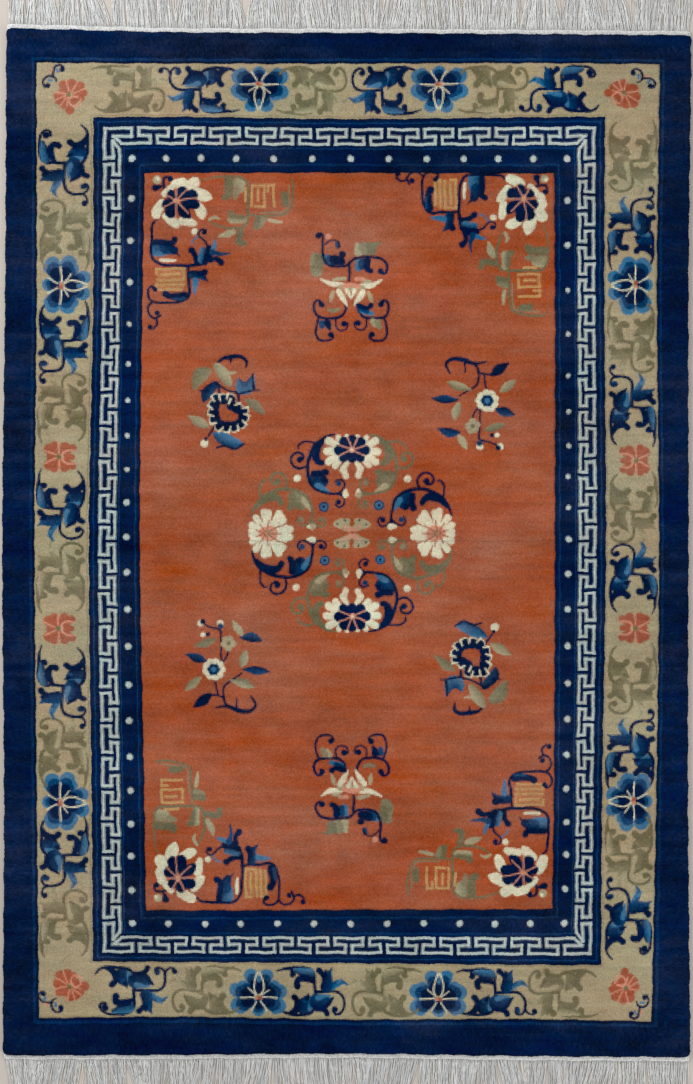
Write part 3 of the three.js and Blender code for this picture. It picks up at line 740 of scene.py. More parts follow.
class Cartoon:
    """The pattern on the straight plan, one cell for each cut tuft."""

    def __init__(self, columns, rows, ground, edge):
        self.columns, self.rows, self.edge = columns, rows, edge
        self.across = (columns[1:] + columns[:-1]) / 2
        self.along = (rows[1:] + rows[:-1]) / 2
        self.dye = np.empty((len(self.along), len(self.across), 3))
        self.dye[:] = ground

    def window(self, low, high):
        """The rows and columns of the cells between two corners."""
        rows = slice(*np.searchsorted(self.along, (low[1], high[1])))
        columns = slice(*np.searchsorted(self.across, (low[0], high[0])))
        return rows, columns

    def lay(self, window, depth, dye):
        """Dyes the cells that lie inside a form. depth is the distance in from its edge."""
        cover = np.clip(0.5 + depth / self.edge, 0, 1)[..., None]
        patch = self.dye[window]
        patch += (dye - patch) * cover

    def stroke(self, points, widths, left, right):
        """A rounded stroke through the points, as wide at each as its own width. Its dye goes
        from the one on its left hand to the one on its right."""
        reach = widths.max() / 2 + self.edge
        window = self.window(points.min(axis=0) - reach, points.max(axis=0) + reach)
        x, y = self.across[window[1]][None, :], self.along[window[0]][:, None]
        if not x.size or not y.size:
            return
        depth = np.full((y.size, x.size), -1e9)
        mix = np.full((y.size, x.size), 0.5)
        for k in range(max(1, len(points) - 1)):
            m = min(k + 1, len(points) - 1)
            run = points[m] - points[k]
            size = max(math.hypot(*run), 1e-9)
            along = (x - points[k][0]) * run[0] + (y - points[k][1]) * run[1]
            t = np.clip(along / size ** 2, 0, 1)
            away = np.hypot(x - points[k][0] - run[0] * t, y - points[k][1] - run[1] * t)
            half = (widths[k] + (widths[m] - widths[k]) * t) / 2
            side = ((x - points[k][0]) * run[1] - (y - points[k][1]) * run[0]) / size
            nearer = half - away > depth
            depth = np.where(nearer, half - away, depth)
            mix = np.where(nearer, np.clip(0.5 + 0.6 * side / half, 0, 1), mix)
        self.lay(window, depth, left + (right - left) * mix[..., None])

    def bars(self, points, width, dye):
        """Straight bars with square ends from point to point. A slanting one has round ends."""
        for start, end in zip(points[:-1], points[1:]):
            if abs(start[0] - end[0]) > 0.1 and abs(start[1] - end[1]) > 0.1:
                self.stroke(np.array((start, end)), np.full(2, width), dye, dye)
                continue
            low = np.minimum(start, end) - width / 2
            high = np.maximum(start, end) + width / 2
            window = self.window(low - self.edge, high + self.edge)
            x, y = self.across[window[1]][None, :], self.along[window[0]][:, None]
            depth = np.minimum(
                np.minimum(x - low[0], high[0] - x), np.minimum(y - low[1], high[1] - y))
            self.lay(window, depth, dye)

    def frame(self, half_width, half_length, width, dye):
        """A thin line round the rug at the given half sizes."""
        x, y = np.abs(self.across)[None, :], np.abs(self.along)[:, None]
        off = np.abs(np.maximum(x - half_width, y - half_length))
        self.lay((slice(None), slice(None)), width / 2 - off, dye)

    def fill(self, half_width, half_length, dye):
        """A plain ground up to the given half sizes, with a crisp edge."""
        x, y = np.abs(self.across)[None, :], np.abs(self.along)[:, None]
        depth = -np.maximum(x - half_width, y - half_length)
        self.lay((slice(None), slice(None)), depth * 4, dye)


def turned(points, degrees):
    """Points turned anticlockwise about the origin."""
    c, s = math.cos(math.radians(degrees)), math.sin(math.radians(degrees))
    points = np.asarray(points, dtype=float)
    return np.stack((c * points[:, 0] - s * points[:, 1], s * points[:, 0] + c * points[:, 1]), 1)


def draw(cartoon, dyes, motif, x, y, turn=0, mirror=(1, 1), instead=None):
    """Draws a motif with its middle at x and y, turned and mirrored, in its own or other dyes."""
    instead = instead or {}
    flipped = mirror[0] * mirror[1] < 0
    for shading, *stations in motif:
        stations = np.array(stations, dtype=float)
        if len(stations) > 2:
            stations = curve_through(stations, np.arange(0, len(stations) - 0.9, 0.25))
        points = turned(stations[:, :2] * mirror * KNOT, turn) + (x, y)
        left, right = shading if isinstance(shading, tuple) else (shading, shading)
        if flipped:
            left, right = right, left
        pair = [dyes[instead.get(dye, dye)] for dye in (left, right)]
        cartoon.stroke(points, stations[:, 2] * KNOT, *pair)


def draw_main_border(cartoon, dyes):
    """The scrolls and flowers of the main border, and its four corners."""
    middle_x = (MAIN_BORDER[0] + FRET_BAND[0]) / 2
    middle_y = (MAIN_BORDER[1] + FRET_BAND[1]) / 2
    flowers = {"blue flower": BLUE_FLOWER, "rust flower": RUST_FLOWER}
    rust_lift = 1.3
    # For each side: its motifs, the column of their places, its turn and its middle, and how
    # far its blue flowers stand outward in knots
    sides = (
        (END_BORDER, 2, 0, (0, middle_y), 2.8),
        (END_BORDER, 3, 180, (0, -middle_y), 3.1),
        (SIDE_BORDER, 2, 90, (-middle_x, 0), 1.4),
        (SIDE_BORDER, 3, -90, (middle_x, 0), 1.9),
    )
    for table, column, turn, middle, blue_lift in sides:
        lifts = {"blue flower": blue_lift, "rust flower": rust_lift}
        for row in table:
            kind, flip = row[:2]
            lift = lifts.get(kind, 0)
            x, y = turned([(row[column] * KNOT, lift * KNOT)], turn)[0] + middle
            if kind in flowers:
                draw(cartoon, dyes, flowers[kind], x, y, turn)
                continue
            dye, end = kind.split()
            mirror = (-1 if dye == "olive" else 1, flip)
            instead = OLIVE_SCROLL if dye == "olive" else None
            draw(cartoon, dyes, SCROLL_ENDS[end] + BORDER_SCROLL, x, y, turn, mirror, instead)
    for x, y, turn in CORNERS:
        draw(cartoon, dyes, CORNER_CURL, x, y, turn)
        draw(cartoon, dyes, CORNER_FLOWER, x, y, turn)


def fret_path(count, reach, levels, corner):
    """The white line of the key fret along one side, from corner to corner. levels are how far
    its outer, middle and inner runs lie from the rug's middle."""
    outer, middle, inner = levels
    step = 2 * reach / count
    opening = 0.1 * step
    arm, slant = 0.4, 0.4
    corner_arm, corner_slant = 0.61, 0.37
    path = [(-corner, outer)]
    for k in range(count + 1):
        gap = -reach + k * step
        back, slant_back = (corner_arm, corner_slant) if k == 0 else (arm, slant)
        on, slant_on = (corner_arm, corner_slant) if k == count else (arm, slant)
        path += [(gap - opening, outer), (gap - opening, middle)]
        path += [(gap - back * step, middle), (gap - slant_back * step, inner)]
        path += [(gap + slant_on * step, inner), (gap + on * step, middle)]
        path += [(gap + opening, middle), (gap + opening, outer)]
    path.append((corner, outer))
    return path


def draw_fret_band(cartoon, dyes):
    """The key fret, its guard lines and the row of pearls."""
    for inset, width in FRET_GUARDS:
        cartoon.frame(FRET_BAND[0] - inset, FRET_BAND[1] - inset, width, dyes["guard"])
    for row, turns in ((END_FRET, (0, 180)), (SIDE_FRET, (90, 270))):
        for turn in turns:
            cartoon.bars(turned(fret_path(*row), turn), FRET_LINE, dyes["fret"])
    half_x, half_y = PEARLS
    rows = (
        ("far", END_PEARLS, half_x, lambda place: (place, half_y)),
        ("near", END_PEARLS, half_x, lambda place: (place, -half_y)),
        ("left", SIDE_PEARLS, half_y, lambda place: (-half_x, place)),
        ("right", SIDE_PEARLS, half_y, lambda place: (half_x, place)),
    )
    for name, count, half, spot in rows:
        drift = curve_through(PEARL_DRIFT[name], np.linspace(0, 4, count))
        for place, stray in zip(np.linspace(-half, half, count), drift):
            width = np.array([SMALL_PEARL if abs(stray) > FAR_STRAY else PEARL])
            cartoon.stroke(np.array([spot(place + stray)]), width, dyes["fret"], dyes["fret"])


def draw_keys(cartoon, dyes, x, y, turn):
    """The two square keys of gold bars in a spandrel."""
    for dye, width, *points in GOLD_KEYS:
        spots = turned(np.array(points) * KNOT, turn) + (x, y)
        cartoon.bars(spots, width * KNOT, dyes[dye])


def draw_bead_ring(cartoon, dyes, x, y, turn):
    """The chrysanthemum: a ring of beads that bends in at one side, each with a light tick."""
    grounds, rounds, ticks = [], [], []
    for bead_x, bead_y in BEADS:
        out_x, out_y = bead_x - BEAD_MIDDLE[0], bead_y - BEAD_MIDDLE[1]
        away = math.hypot(out_x, out_y)
        out_x, out_y = out_x / away, out_y / away
        grounds.append(("ivory", (bead_x + 0.9 * out_x, bead_y + 0.9 * out_y, 5.0)))
        rounds.append(("navy", (bead_x, bead_y, 5.6)))
        start = (bead_x + 0.2 * out_x - 1.9 * out_y, bead_y + 0.2 * out_y + 1.9 * out_x, 0.8)
        end = (bead_x + 3.0 * out_x - 1.5 * out_y, bead_y + 3.0 * out_y + 1.5 * out_x, 1.1)
        ticks.append(("ivory", start, end))
    draw(cartoon, dyes, tuple(grounds + rounds + ticks), x, y, turn)


def draw_medallion(cartoon, dyes):
    """The round medallion: scrolls in two colours, four blossoms and the butterfly."""
    x, y = MEDALLION_AT
    quarters = (0, 90, 180, 270)
    for turn in quarters:
        draw(cartoon, dyes, MEDALLION_SPOTS, x, y, turn)
        draw(cartoon, dyes, MEDALLION_SCROLL, x, y, turn, (1, -1), OLIVE_SCROLL)
    for turn in quarters:
        draw(cartoon, dyes, MEDALLION_SCROLL, x, y, turn)
    for turn in (0, 180):
        draw(cartoon, dyes, MEDALLION_BLOSSOM, x, y, turn)
        heart = turned([(0, MEDALLION_HEART_AT * KNOT)], turn)[0]
        draw(cartoon, dyes, MEDALLION_HEART, x + heart[0], y + heart[1], turn)
        side = turned([(MEDALLION_SIDE_AT * KNOT, 0)], turn)[0]
        draw(cartoon, dyes, MEDALLION_SIDE, x + side[0], y + side[1], turn)
    draw(cartoon, dyes, MEDALLION_MIDDLE, x, y)


def draw_field(cartoon, dyes):
    """The spandrels, sprays and round medallion of the field."""
    for motif, x, y, turn in FIELD_MOTIFS:
        if motif is LOTUS:
            for side in (1, -1):
                draw(cartoon, dyes, LOTUS_SCROLL, x, y, turn, (side, 1))
        if motif is SPANDREL:
            draw_keys(cartoon, dyes, x, y, turn)
        draw(cartoon, dyes, motif, x, y, turn)
        if motif is CHRYSANTHEMUM:
            draw_bead_ring(cartoon, dyes, x, y, turn)
    draw_medallion(cartoon, dyes)


def weave_pattern(dyes, columns, rows, edge):
    """Draws the whole rug on the given grid lines, from its outer border to its field."""
    guard_out, beige_out = 8, 0.8
    half_width, half_length = MAIN_BORDER
    cartoon = Cartoon(columns, rows, dyes["navy"], edge)
    cartoon.frame(half_width + guard_out, half_length + guard_out, GUARD, dyes["guard"])
    cartoon.fill(half_width + beige_out, half_length + beige_out, dyes["beige"])
    draw_main_border(cartoon, dyes)
    cartoon.fill(*FRET_EDGE, dyes["navy"])
    draw_fret_band(cartoon, dyes)
    cartoon.fill(*FIELD, dyes["terracotta"])
    draw_field(cartoon, dyes)
    return cartoon


def streaked(cartoon, seed):
    """Lets the dye lots, the spinning and the sun show: streaks, clouds, faded patches and
    single tufts. Navy varies most in depth, the lighter dyes in how pale and red they are."""
    tuft_depth, tuft_pale = 0.06, 0.02
    navy_deeper, navy_kept = 1.8, 0.93
    red_shift = (0.3, -1.0, -1.2)
    random = np.random.default_rng(seed)
    x, y = cartoon.across[None, :], cartoon.along[:, None]
    shape = cartoon.dye.shape[:2]

    def cloud(step_x, step_y):
        """Smooth noise between -1 and 1 with spots of about the given size in mm."""
        grid = random.uniform(-1, 1, (int(LENGTH / step_y) + 4, int(WIDTH / step_x) + 4))
        at_x = (cartoon.across + WIDTH / 2) / step_x + 1
        at_y = (cartoon.along + LENGTH / 2) / step_y + 1
        return curve_through(curve_through(grid, at_y).T, at_x).T

    def clouds(table):
        """The clouds of a table, added up."""
        return sum(strength * cloud(step_x, step_y) for step_x, step_y, strength in table)

    light = (cartoon.dye @ (0.21, 0.72, 0.07))[..., None]
    deep = 1 - np.clip(light / 0.10, 0, 1)
    shade = clouds(DEEPER) + random.normal(0, tuft_depth, shape)
    depth = 1 + shade[..., None] * (1 + navy_deeper * deep)
    pale = clouds(PALER) + random.normal(0, tuft_pale, shape)
    for spot_x, spot_y, size, amount in FADED:
        away = np.hypot(x - spot_x, y - spot_y) / size
        pale = pale + amount * np.exp(-2 * away ** 2)
    pale = pale[..., None] * (1 - navy_kept * deep)
    faded = cartoon.dye + (np.array(WORN) - cartoon.dye) * pale
    redder = clouds(REDDER)[..., None] * (1 - deep)
    faded = faded * (1 + redder * red_shift)
    return np.clip(faded * depth, 0, 1)


def grid_lines(half_size, outlines, rim, coarse, fine):
    """Grid lines across the rug: close at the rim, wide over the plain outer border, fine inside."""
    outward = [half_size - inset for inset in rim]
    stops = [outward[-1], *outlines]
    for step, (far, near) in enumerate(zip(stops[:-1], stops[1:])):
        pitch = coarse if step == 0 else fine
        count = max(1, round((far - near) / pitch))
        outward += list(np.linspace(far, near, count + 1)[1:])
    inner = stops[-1]
    count = 2 * max(1, round(inner / fine))
    inside = np.linspace(-inner, inner, count + 1)[1:-1]
    outward = np.array(outward)
    return np.concatenate((-outward, inside, outward[::-1]))


def new_piece(name, points, faces, sizes, material, colours):
    """A mesh object from corner points in mm. faces lists corners, sizes how many each face has,
    and colours has one row for each face."""
    mesh = bpy.data.meshes.new(name)
    mesh.vertices.add(len(points))
    mesh.vertices.foreach_set("co", (np.asarray(points, dtype=np.float32) * MM).ravel())
    mesh.loops.add(len(faces))
    mesh.loops.foreach_set("vertex_index", np.asarray(faces, dtype=np.int32))
    mesh.polygons.add(len(sizes))
    starts = np.concatenate(([0], np.cumsum(sizes)[:-1])).astype(np.int32)
    mesh.polygons.foreach_set("loop_start", starts)
    mesh.update(calc_edges=True)
    mesh.polygons.foreach_set("use_smooth", np.ones(len(sizes), dtype=bool))
    layer = mesh.color_attributes.new(name="dye", type="FLOAT_COLOR", domain="CORNER")
    full = np.ones((len(faces), 4), dtype=np.float32)
    full[:, :3] = np.repeat(colours, sizes, axis=0)
    layer.data.foreach_set("color", full.ravel())
    if mesh.validate():
        raise RuntimeError(f"the mesh of {name} had faults")
    mesh.materials.append(material)
    piece = bpy.data.objects.new(name, mesh)
    bpy.context.scene.collection.objects.link(piece)
    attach(piece, "root")
    return piece


def rim_of(rows, columns):
    """The corner places round a rectangle of the grid, anticlockwise, one list for each side."""
    (r0, r1), (c0, c1) = rows, columns
    near = [(r0, c) for c in range(c0, c1)]
    right = [(r, c1) for r in range(r0, r1)]
    far = [(r1, c) for c in range(c1, c0, -1)]
    left = [(r, c0) for r in range(r1, r0, -1)]
    return near, right, far, left


def kept_cell(keep, corner):
    """The first kept cell that touches a corner of the grid."""
    row, column = corner
    cells = [(r, c) for r in (row - 1, row) for c in (column - 1, column)]
    high, wide = keep.shape
    return next(cell for cell in cells
                if 0 <= cell[0] < high and 0 <= cell[1] < wide and keep[cell])


def base_faces(feet):
    """The flat faces under a piece, from the corner numbers along each side of its walls' feet.
    With a hole there is one face for each side, else a single one."""
    if len(feet) == 2:
        return [np.concatenate((outside[::-1], inside)) for outside, inside in zip(*feet)]
    return [np.concatenate([side[:-1] for side in feet[0]])[::-1]]


def pile_piece(name, points, dye, rows, columns, hole, wool):
    """One closed piece of the pile: its dyed top, walls down to the foundation that carry painted
    shade, darker than the top, and a flat base.
    """
    # shaded is the factor on the walls' colour: painted shade that makes the sides darker than the top.
    shaded, base_dye = 0.8, (0.3, 0.28, 0.22)
    keep = np.zeros(dye.shape[:2], dtype=bool)
    keep[slice(*rows), slice(*columns)] = True
    loops = [rim_of(rows, columns)]
    if hole:
        keep[slice(*hole[0]), slice(*hole[1])] = False
        loops.append(rim_of(*hole))
    wide = points.shape[1]
    row, column = np.nonzero(keep)
    first = row * wide + column
    quads = np.stack((first, first + 1, first + wide + 1, first + wide), 1)
    used, quads = np.unique(quads, return_inverse=True)
    place = {index: k for k, index in enumerate(used)}
    tops = points.reshape(-1, 3)[used]
    vertices, faces, sizes = [tops], [quads.ravel()], [np.full(len(row), 4)]
    colours = [dye[row, column]]
    count = len(tops)
    feet = []
    for sides in loops:
        corners = [corner for side in sides for corner in side]
        upper = np.array([place[r * wide + c] for r, c in corners])
        lower = np.arange(count, count + len(upper))
        count += len(upper)
        foot_points = tops[upper].copy()
        foot_points[:, 2] = FOOT
        vertices.append(foot_points)
        walls = np.stack((lower, np.roll(lower, -1), np.roll(upper, -1), upper), 1)
        if feet:
            walls = walls[:, ::-1]
        faces.append(walls.ravel())
        sizes.append(np.full(len(walls), 4))
        cells = np.array([kept_cell(keep, corner) for corner in corners])
        # Each wall takes the dye of the cell beside it, darkened as painted shade.
        colours.append(dye[cells[:, 0], cells[:, 1]] * shaded)
        ends = np.cumsum([0] + [len(side) for side in sides])
        feet.append([np.append(lower[a:b], lower[b % len(lower)]) for a, b in zip(ends, ends[1:])])
    for face in base_faces(feet):
        faces.append(face)
        sizes.append(np.array([len(face)]))
        colours.append(np.array([base_dye]))
    piece = new_piece(
        name, np.concatenate(vertices), np.concatenate(faces), np.concatenate(sizes), wool,
        np.concatenate(colours))
    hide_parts("rug_body")


def rounded_corners(x, y, radius):
    """Draws the four corners of the straight plan in to a small round."""
    from_side = np.clip((np.abs(x) - WIDTH / 2) / radius + 1, 0, 1)
    from_end = np.clip((np.abs(y) - LENGTH / 2) / radius + 1, 0, 1)
    side = from_side * np.sqrt(1 - from_end ** 2 / 2)
    end = from_end * np.sqrt(1 - from_side ** 2 / 2)
    return x + np.sign(x) * (side - from_side) * radius, y + np.sign(y) * (end - from_end) * radius


def pile_surface(cartoon, sizes, seed):
    """The corner points of the pile's top: its rounded rim, carved outlines and single tufts."""
    tuft_height, tuft_shift = 0.16, 0.3
    full_contrast = 0.35
    random = np.random.default_rng(seed)
    x, y = np.meshgrid(cartoon.columns, cartoon.rows)
    height = np.full(x.shape, float(THICKNESS) - STRAY)
    inset = np.minimum(WIDTH / 2 - np.abs(x), LENGTH / 2 - np.abs(y))
    over = np.clip(1 - inset / sizes.round_over / 1000, 0, 1)
    height -= RIM_DROP * (1 - np.sqrt(1 - over ** 2))
    carved = sizes.carved_width * 1000 / 2
    for half_width, half_length in (MAIN_BORDER, FRET_EDGE, FIELD):
        off = np.abs(np.maximum(np.abs(x) - half_width, np.abs(y) - half_length))
        height -= sizes.carved_depth * 1000 * np.clip(1 - off / carved, 0, 1)
    light = np.pad(cartoon.dye.sum(axis=2), 1, mode="edge")
    around = np.stack((light[:-1, :-1], light[1:, :-1], light[:-1, 1:], light[1:, 1:]))
    contrast = around.max(axis=0) - around.min(axis=0)
    height -= sizes.outline_depth * 1000 * np.clip(contrast / full_contrast, 0, 1)
    height += random.normal(0, tuft_height, x.shape) * (inset > 0.5)
    x, y = uneven(*rounded_corners(x, y, CORNER))
    rough = random.normal(0, tuft_shift, (2,) + x.shape)
    return np.stack((x + rough[0], y + rough[1], height), axis=2)


def yarn_bundle(name, roots, tips, lifts, radii, steps, tones, material, seed):
    """Three-sided yarns from their roots to their tips, each with a slight wave of its own."""
    sides, bow, ripple, twist = 3, 2.0, 0.9, 1.5
    random = np.random.default_rng(seed)
    count = len(roots)
    t = np.linspace(0, 1, steps + 1)[None, :]
    swing = random.normal(0, bow, (count, 1)) * np.sin(np.pi * t)
    swing += random.normal(0, ripple, (count, 1)) * np.sin(2 * np.pi * t)
    x = roots[:, :1] + (tips[:, :1] - roots[:, :1]) * t ** 1.25 + swing
    y = roots[:, 1:2] + (tips[:, 1:2] - roots[:, 1:2]) * t
    radius = radii[0] + (radii[1] - radii[0]) * t + np.zeros((count, 1))
    z = radius + lifts[:, :1] * (1 - t) ** 1.5 + lifts[:, 1:2] * t * (1 - 0.6 * t)
    spin = random.uniform(0, 2 * np.pi, (count, 1))
    rings = []
    for corner in range(sides):
        angle = spin + corner * 2 * np.pi / sides + twist * t
        rings.append(np.stack((x + radius * np.cos(angle), y, z + radius * np.sin(angle)), axis=2))
    points = np.stack(rings, axis=2)
    points[..., 2] = np.maximum(points[..., 2], 0)
    index = np.arange(count * (steps + 1) * sides).reshape(count, steps + 1, sides)
    far = tips[0, 1] > roots[0, 1]
    walls = []
    for corner in range(sides):
        ahead = (corner + 1) % sides
        quad = np.stack((index[:, :-1, corner], index[:, :-1, ahead],
                         index[:, 1:, ahead], index[:, 1:, corner]), axis=2)
        walls.append((quad[:, :, ::-1] if far else quad).reshape(-1, 4))
    walls = np.concatenate(walls)
    start, end = index[:, 0], index[:, -1][:, ::-1]
    if not far:
        start, end = start[:, ::-1], end[:, ::-1]
    faces = np.concatenate((walls.ravel(), start.ravel(), end.ravel()))
    sizes = np.concatenate((np.full(len(walls), 4), np.full(2 * count, sides)))
    along = np.repeat(tones, steps, axis=0)
    colours = np.concatenate((along, along, along, tones, tones))
    return new_piece(name, points.reshape(-1, 3), faces, sizes, material, colours)


def lock_lean(x):
    """How far the warp ends lean at their tips, so that they gather in soft clumps."""
    spread = 10 * (x / (WIDTH / 2)) ** 5
    return 7 * np.sin(x / 47 + 0.6) + 2.6 * np.sin(x / 15.5 + 1.9) + spread


def lock_length(x, longest, ragged):
    """How long the lock at x is."""
    return longest - ragged * (0.5 + 0.3 * np.sin(x / 21) + 0.2 * np.sin(x / 6.7 + 1))


def hank_sway(random, left, right, middle, x):
    """How locks cling together in hanks, which lean their own ways and part here and there. It
    gives each yarn's pull towards the middle of its hank, and the hank's lean."""
    hanks, widths, pulls, leans, most = 40, (22, 75), (0.02, 0.42), 6, 10
    ends = left + np.cumsum(random.uniform(*widths, hanks))
    hank = np.searchsorted(ends, middle)
    start = np.concatenate(([left], ends))[hank]
    centre = (start + np.minimum(ends[hank], right)) / 2
    gather = random.uniform(*pulls, hanks + 1)[hank]
    lean = np.clip(random.normal(0, leans, hanks + 1), -most, most)[hank]
    return (centre - x) * gather, lean


def comb_fringe(name, end, sizes, white, cotton, seed):
    """One fringe: locks of yarns from the web to their tips. end is 1 at the far end, else -1."""
    inset, hidden = 4, 2.5
    slips, strays, stray_mean, stray_spread = 3.4, 0.2, -4, 8
    shares, rises, arches, strand_tone_and_shade = (0.88, 1.01), (0.3, 1.4), (0, 2.6), (0.72, 1.06)
    radii, steps = (0.8, 0.6), 6
    random = np.random.default_rng(seed)
    count = sizes.locks * sizes.yarns
    left, right = (uneven(side * WIDTH / 2, end * LENGTH / 2)[0] for side in (-1, 1))
    left, right = left + inset, right - inset
    pitch = (right - left) / sizes.locks
    lock = np.repeat(np.arange(sizes.locks), sizes.yarns)
    within = np.tile(np.arange(sizes.yarns), sizes.locks)
    middle = left + pitch * (lock + 0.5)
    x = left + pitch * (lock + (within + 0.5) / sizes.yarns)
    edge = uneven(x, end * (LENGTH / 2 + WEB_WIDTH))[1]
    roots = np.stack((x, edge - end * hidden), 1)
    length = lock_length(middle * end + 13, sizes.fringe * 1000, sizes.ragged * 1000)
    length = length * random.uniform(*shares, count)
    pull, lean = hank_sway(random, left, right, middle, x)
    slip = random.normal(0, slips, count)
    slip += (random.random(count) < strays) * random.normal(stray_mean, stray_spread, count)
    sway = lock_lean(middle * end) + lean + pull + slip
    tips = np.stack((x + sway, edge + end * length), 1)
    lifts = np.stack((random.uniform(*rises, count), random.uniform(*arches, count)), 1)
    # Each yarn is lighter or darker at random: partly its own tone, partly painted shade standing in
    # for the shadows among the strands.
    tones = white * random.uniform(*strand_tone_and_shade, (count, 1))
    tones = tones * (1 + random.normal(0, 0.02, (count, 1)) * np.array((1, 0, -1)))
    piece = yarn_bundle(
        name, roots, tips, lifts, radii, steps, np.clip(tones, 0, 1), cotton, seed + 10)
    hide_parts("fringe_far" if end > 0 else "fringe_near")


def woven_sheet(dyes, cotton, back, seed):
    """The foundation with its two webs: a thin sheet, plain on top and in the pattern's dyes on
    its back."""
    half_width, half_length = WIDTH / 2 - 1.5, LENGTH / 2 - 1
    across_steps, along_steps, pitch = 136, 202, 9.0
    columns = np.linspace(-half_width, half_width, across_steps)
    inside = np.linspace(-half_length, half_length, along_steps)
    web = np.array((1.8, 3.6, 5.4, 7.2, 9.0))
    rows = np.concatenate((-half_length - web[::-1], inside, half_length + web))
    cartoon = weave_pattern(dyes, columns, rows, pitch)
    across, along = np.meshgrid(columns, rows)
    x, y = uneven(across, along)
    is_web = np.abs(along) > LENGTH / 2
    random = np.random.default_rng(seed)
    top = np.where(is_web, WEB_TOP, SHEET_TOP) + random.normal(0, WEB_ROUGH, x.shape) * is_web
    upper = np.stack((x, y, top), axis=2).reshape(-1, 3)
    lower = upper.copy()
    lower[:, 2] = 0
    count = len(upper)
    high, wide = len(rows) - 1, len(columns)
    row, column = np.divmod(np.arange(high * (wide - 1)), wide - 1)
    first = row * wide + column
    tops = np.stack((first, first + 1, first + wide + 1, first + wide), 1)
    bottoms = tops[:, ::-1] + count
    rim = np.array([r * wide + c for side in rim_of((0, high), (0, wide - 1)) for r, c in side])
    ahead = np.roll(rim, -1)
    walls = np.stack((rim + count, ahead + count, ahead, rim), 1)
    faces = np.concatenate((tops, bottoms, walls))
    knots = cartoon.dye.copy()
    knots[np.abs(cartoon.along) > LENGTH / 2 - 1] = cotton
    plain = np.tile(cotton, (len(tops), 1))
    colours = np.concatenate((plain, knots.reshape(-1, 3), np.tile(cotton, (len(walls), 1))))
    return new_piece(
        "foundation", np.concatenate((upper, lower)), faces.ravel(), np.full(len(faces), 4),
        back, colours)


class Finish:
    """Builds one node material, with short calls for the few nodes it needs."""

    def __init__(self, name, roughness, sheen, specular):
        self.material = bpy.data.materials.new(name)
        self.material.use_nodes = True
        self.nodes, self.links = self.material.node_tree.nodes, self.material.node_tree.links
        self.shader = self.nodes["Principled BSDF"]
        self.shader.inputs["Roughness"].default_value = roughness
        self.shader.inputs["Sheen Weight"].default_value = sheen
        self.shader.inputs["Sheen Roughness"].default_value = 0.5
        self.shader.inputs["Specular IOR Level"].default_value = specular
        self.place = self.nodes.new("ShaderNodeTexCoord").outputs["Object"]

    def dye(self):
        """The colour that each face was given."""
        node = self.nodes.new("ShaderNodeVertexColor")
        node.layer_name = "dye"
        return node.outputs["Color"]

    def stretched(self, scale):
        """The place on the piece, with its own scale along each axis."""
        node = self.nodes.new("ShaderNodeMapping")
        node.inputs["Scale"].default_value = scale
        self.links.new(self.place, node.inputs["Vector"])
        return node.outputs["Vector"]

    def noise(self, scale, detail=3.0, vector=None):
        """Soft noise."""
        node = self.nodes.new("ShaderNodeTexNoise")
        node.inputs["Scale"].default_value = scale
        node.inputs["Detail"].default_value = detail
        self.links.new(vector or self.place, node.inputs["Vector"])
        return node.outputs["Fac"]

    def cells(self, scale, vector=None):
        """How far a place is from the middle of its cell, one cell for each tuft or knot."""
        node = self.nodes.new("ShaderNodeTexVoronoi")
        node.inputs["Scale"].default_value = scale
        self.links.new(vector or self.place, node.inputs["Vector"])
        return node.outputs["Distance"]

    def ranged(self, value, low, high, to_low, to_high):
        """The value, moved from one range to another."""
        node = self.nodes.new("ShaderNodeMapRange")
        numbers = {"From Min": low, "From Max": high, "To Min": to_low, "To Max": to_high}
        for name, number in numbers.items():
            node.inputs[name].default_value = number
        self.links.new(value, node.inputs["Value"])
        return node.outputs["Result"]

    def joined(self, one, other, kind):
        """Two values added or multiplied."""
        node = self.nodes.new("ShaderNodeMath")
        node.operation = kind
        self.links.new(one, node.inputs[0])
        self.links.new(other, node.inputs[1])
        return node.outputs["Value"]

    def shaded(self, colour, factor):
        """The colour, made lighter or darker by the factor."""
        node = self.nodes.new("ShaderNodeVectorMath")
        node.operation = "SCALE"
        if isinstance(colour, tuple):
            node.inputs[0].default_value = colour
        else:
            self.links.new(colour, node.inputs[0])
        self.links.new(factor, node.inputs["Scale"])
        return node.outputs["Vector"]

    def colour(self, output):
        """Gives the shader its colour."""
        self.links.new(output, self.shader.inputs["Base Color"])

    def bump(self, height, distance, strength):
        """Gives the shader its relief."""
        node = self.nodes.new("ShaderNodeBump")
        node.inputs["Strength"].default_value = strength
        node.inputs["Distance"].default_value = distance
        self.links.new(height, node.inputs["Height"])
        self.links.new(node.outputs["Normal"], self.shader.inputs["Normal"])


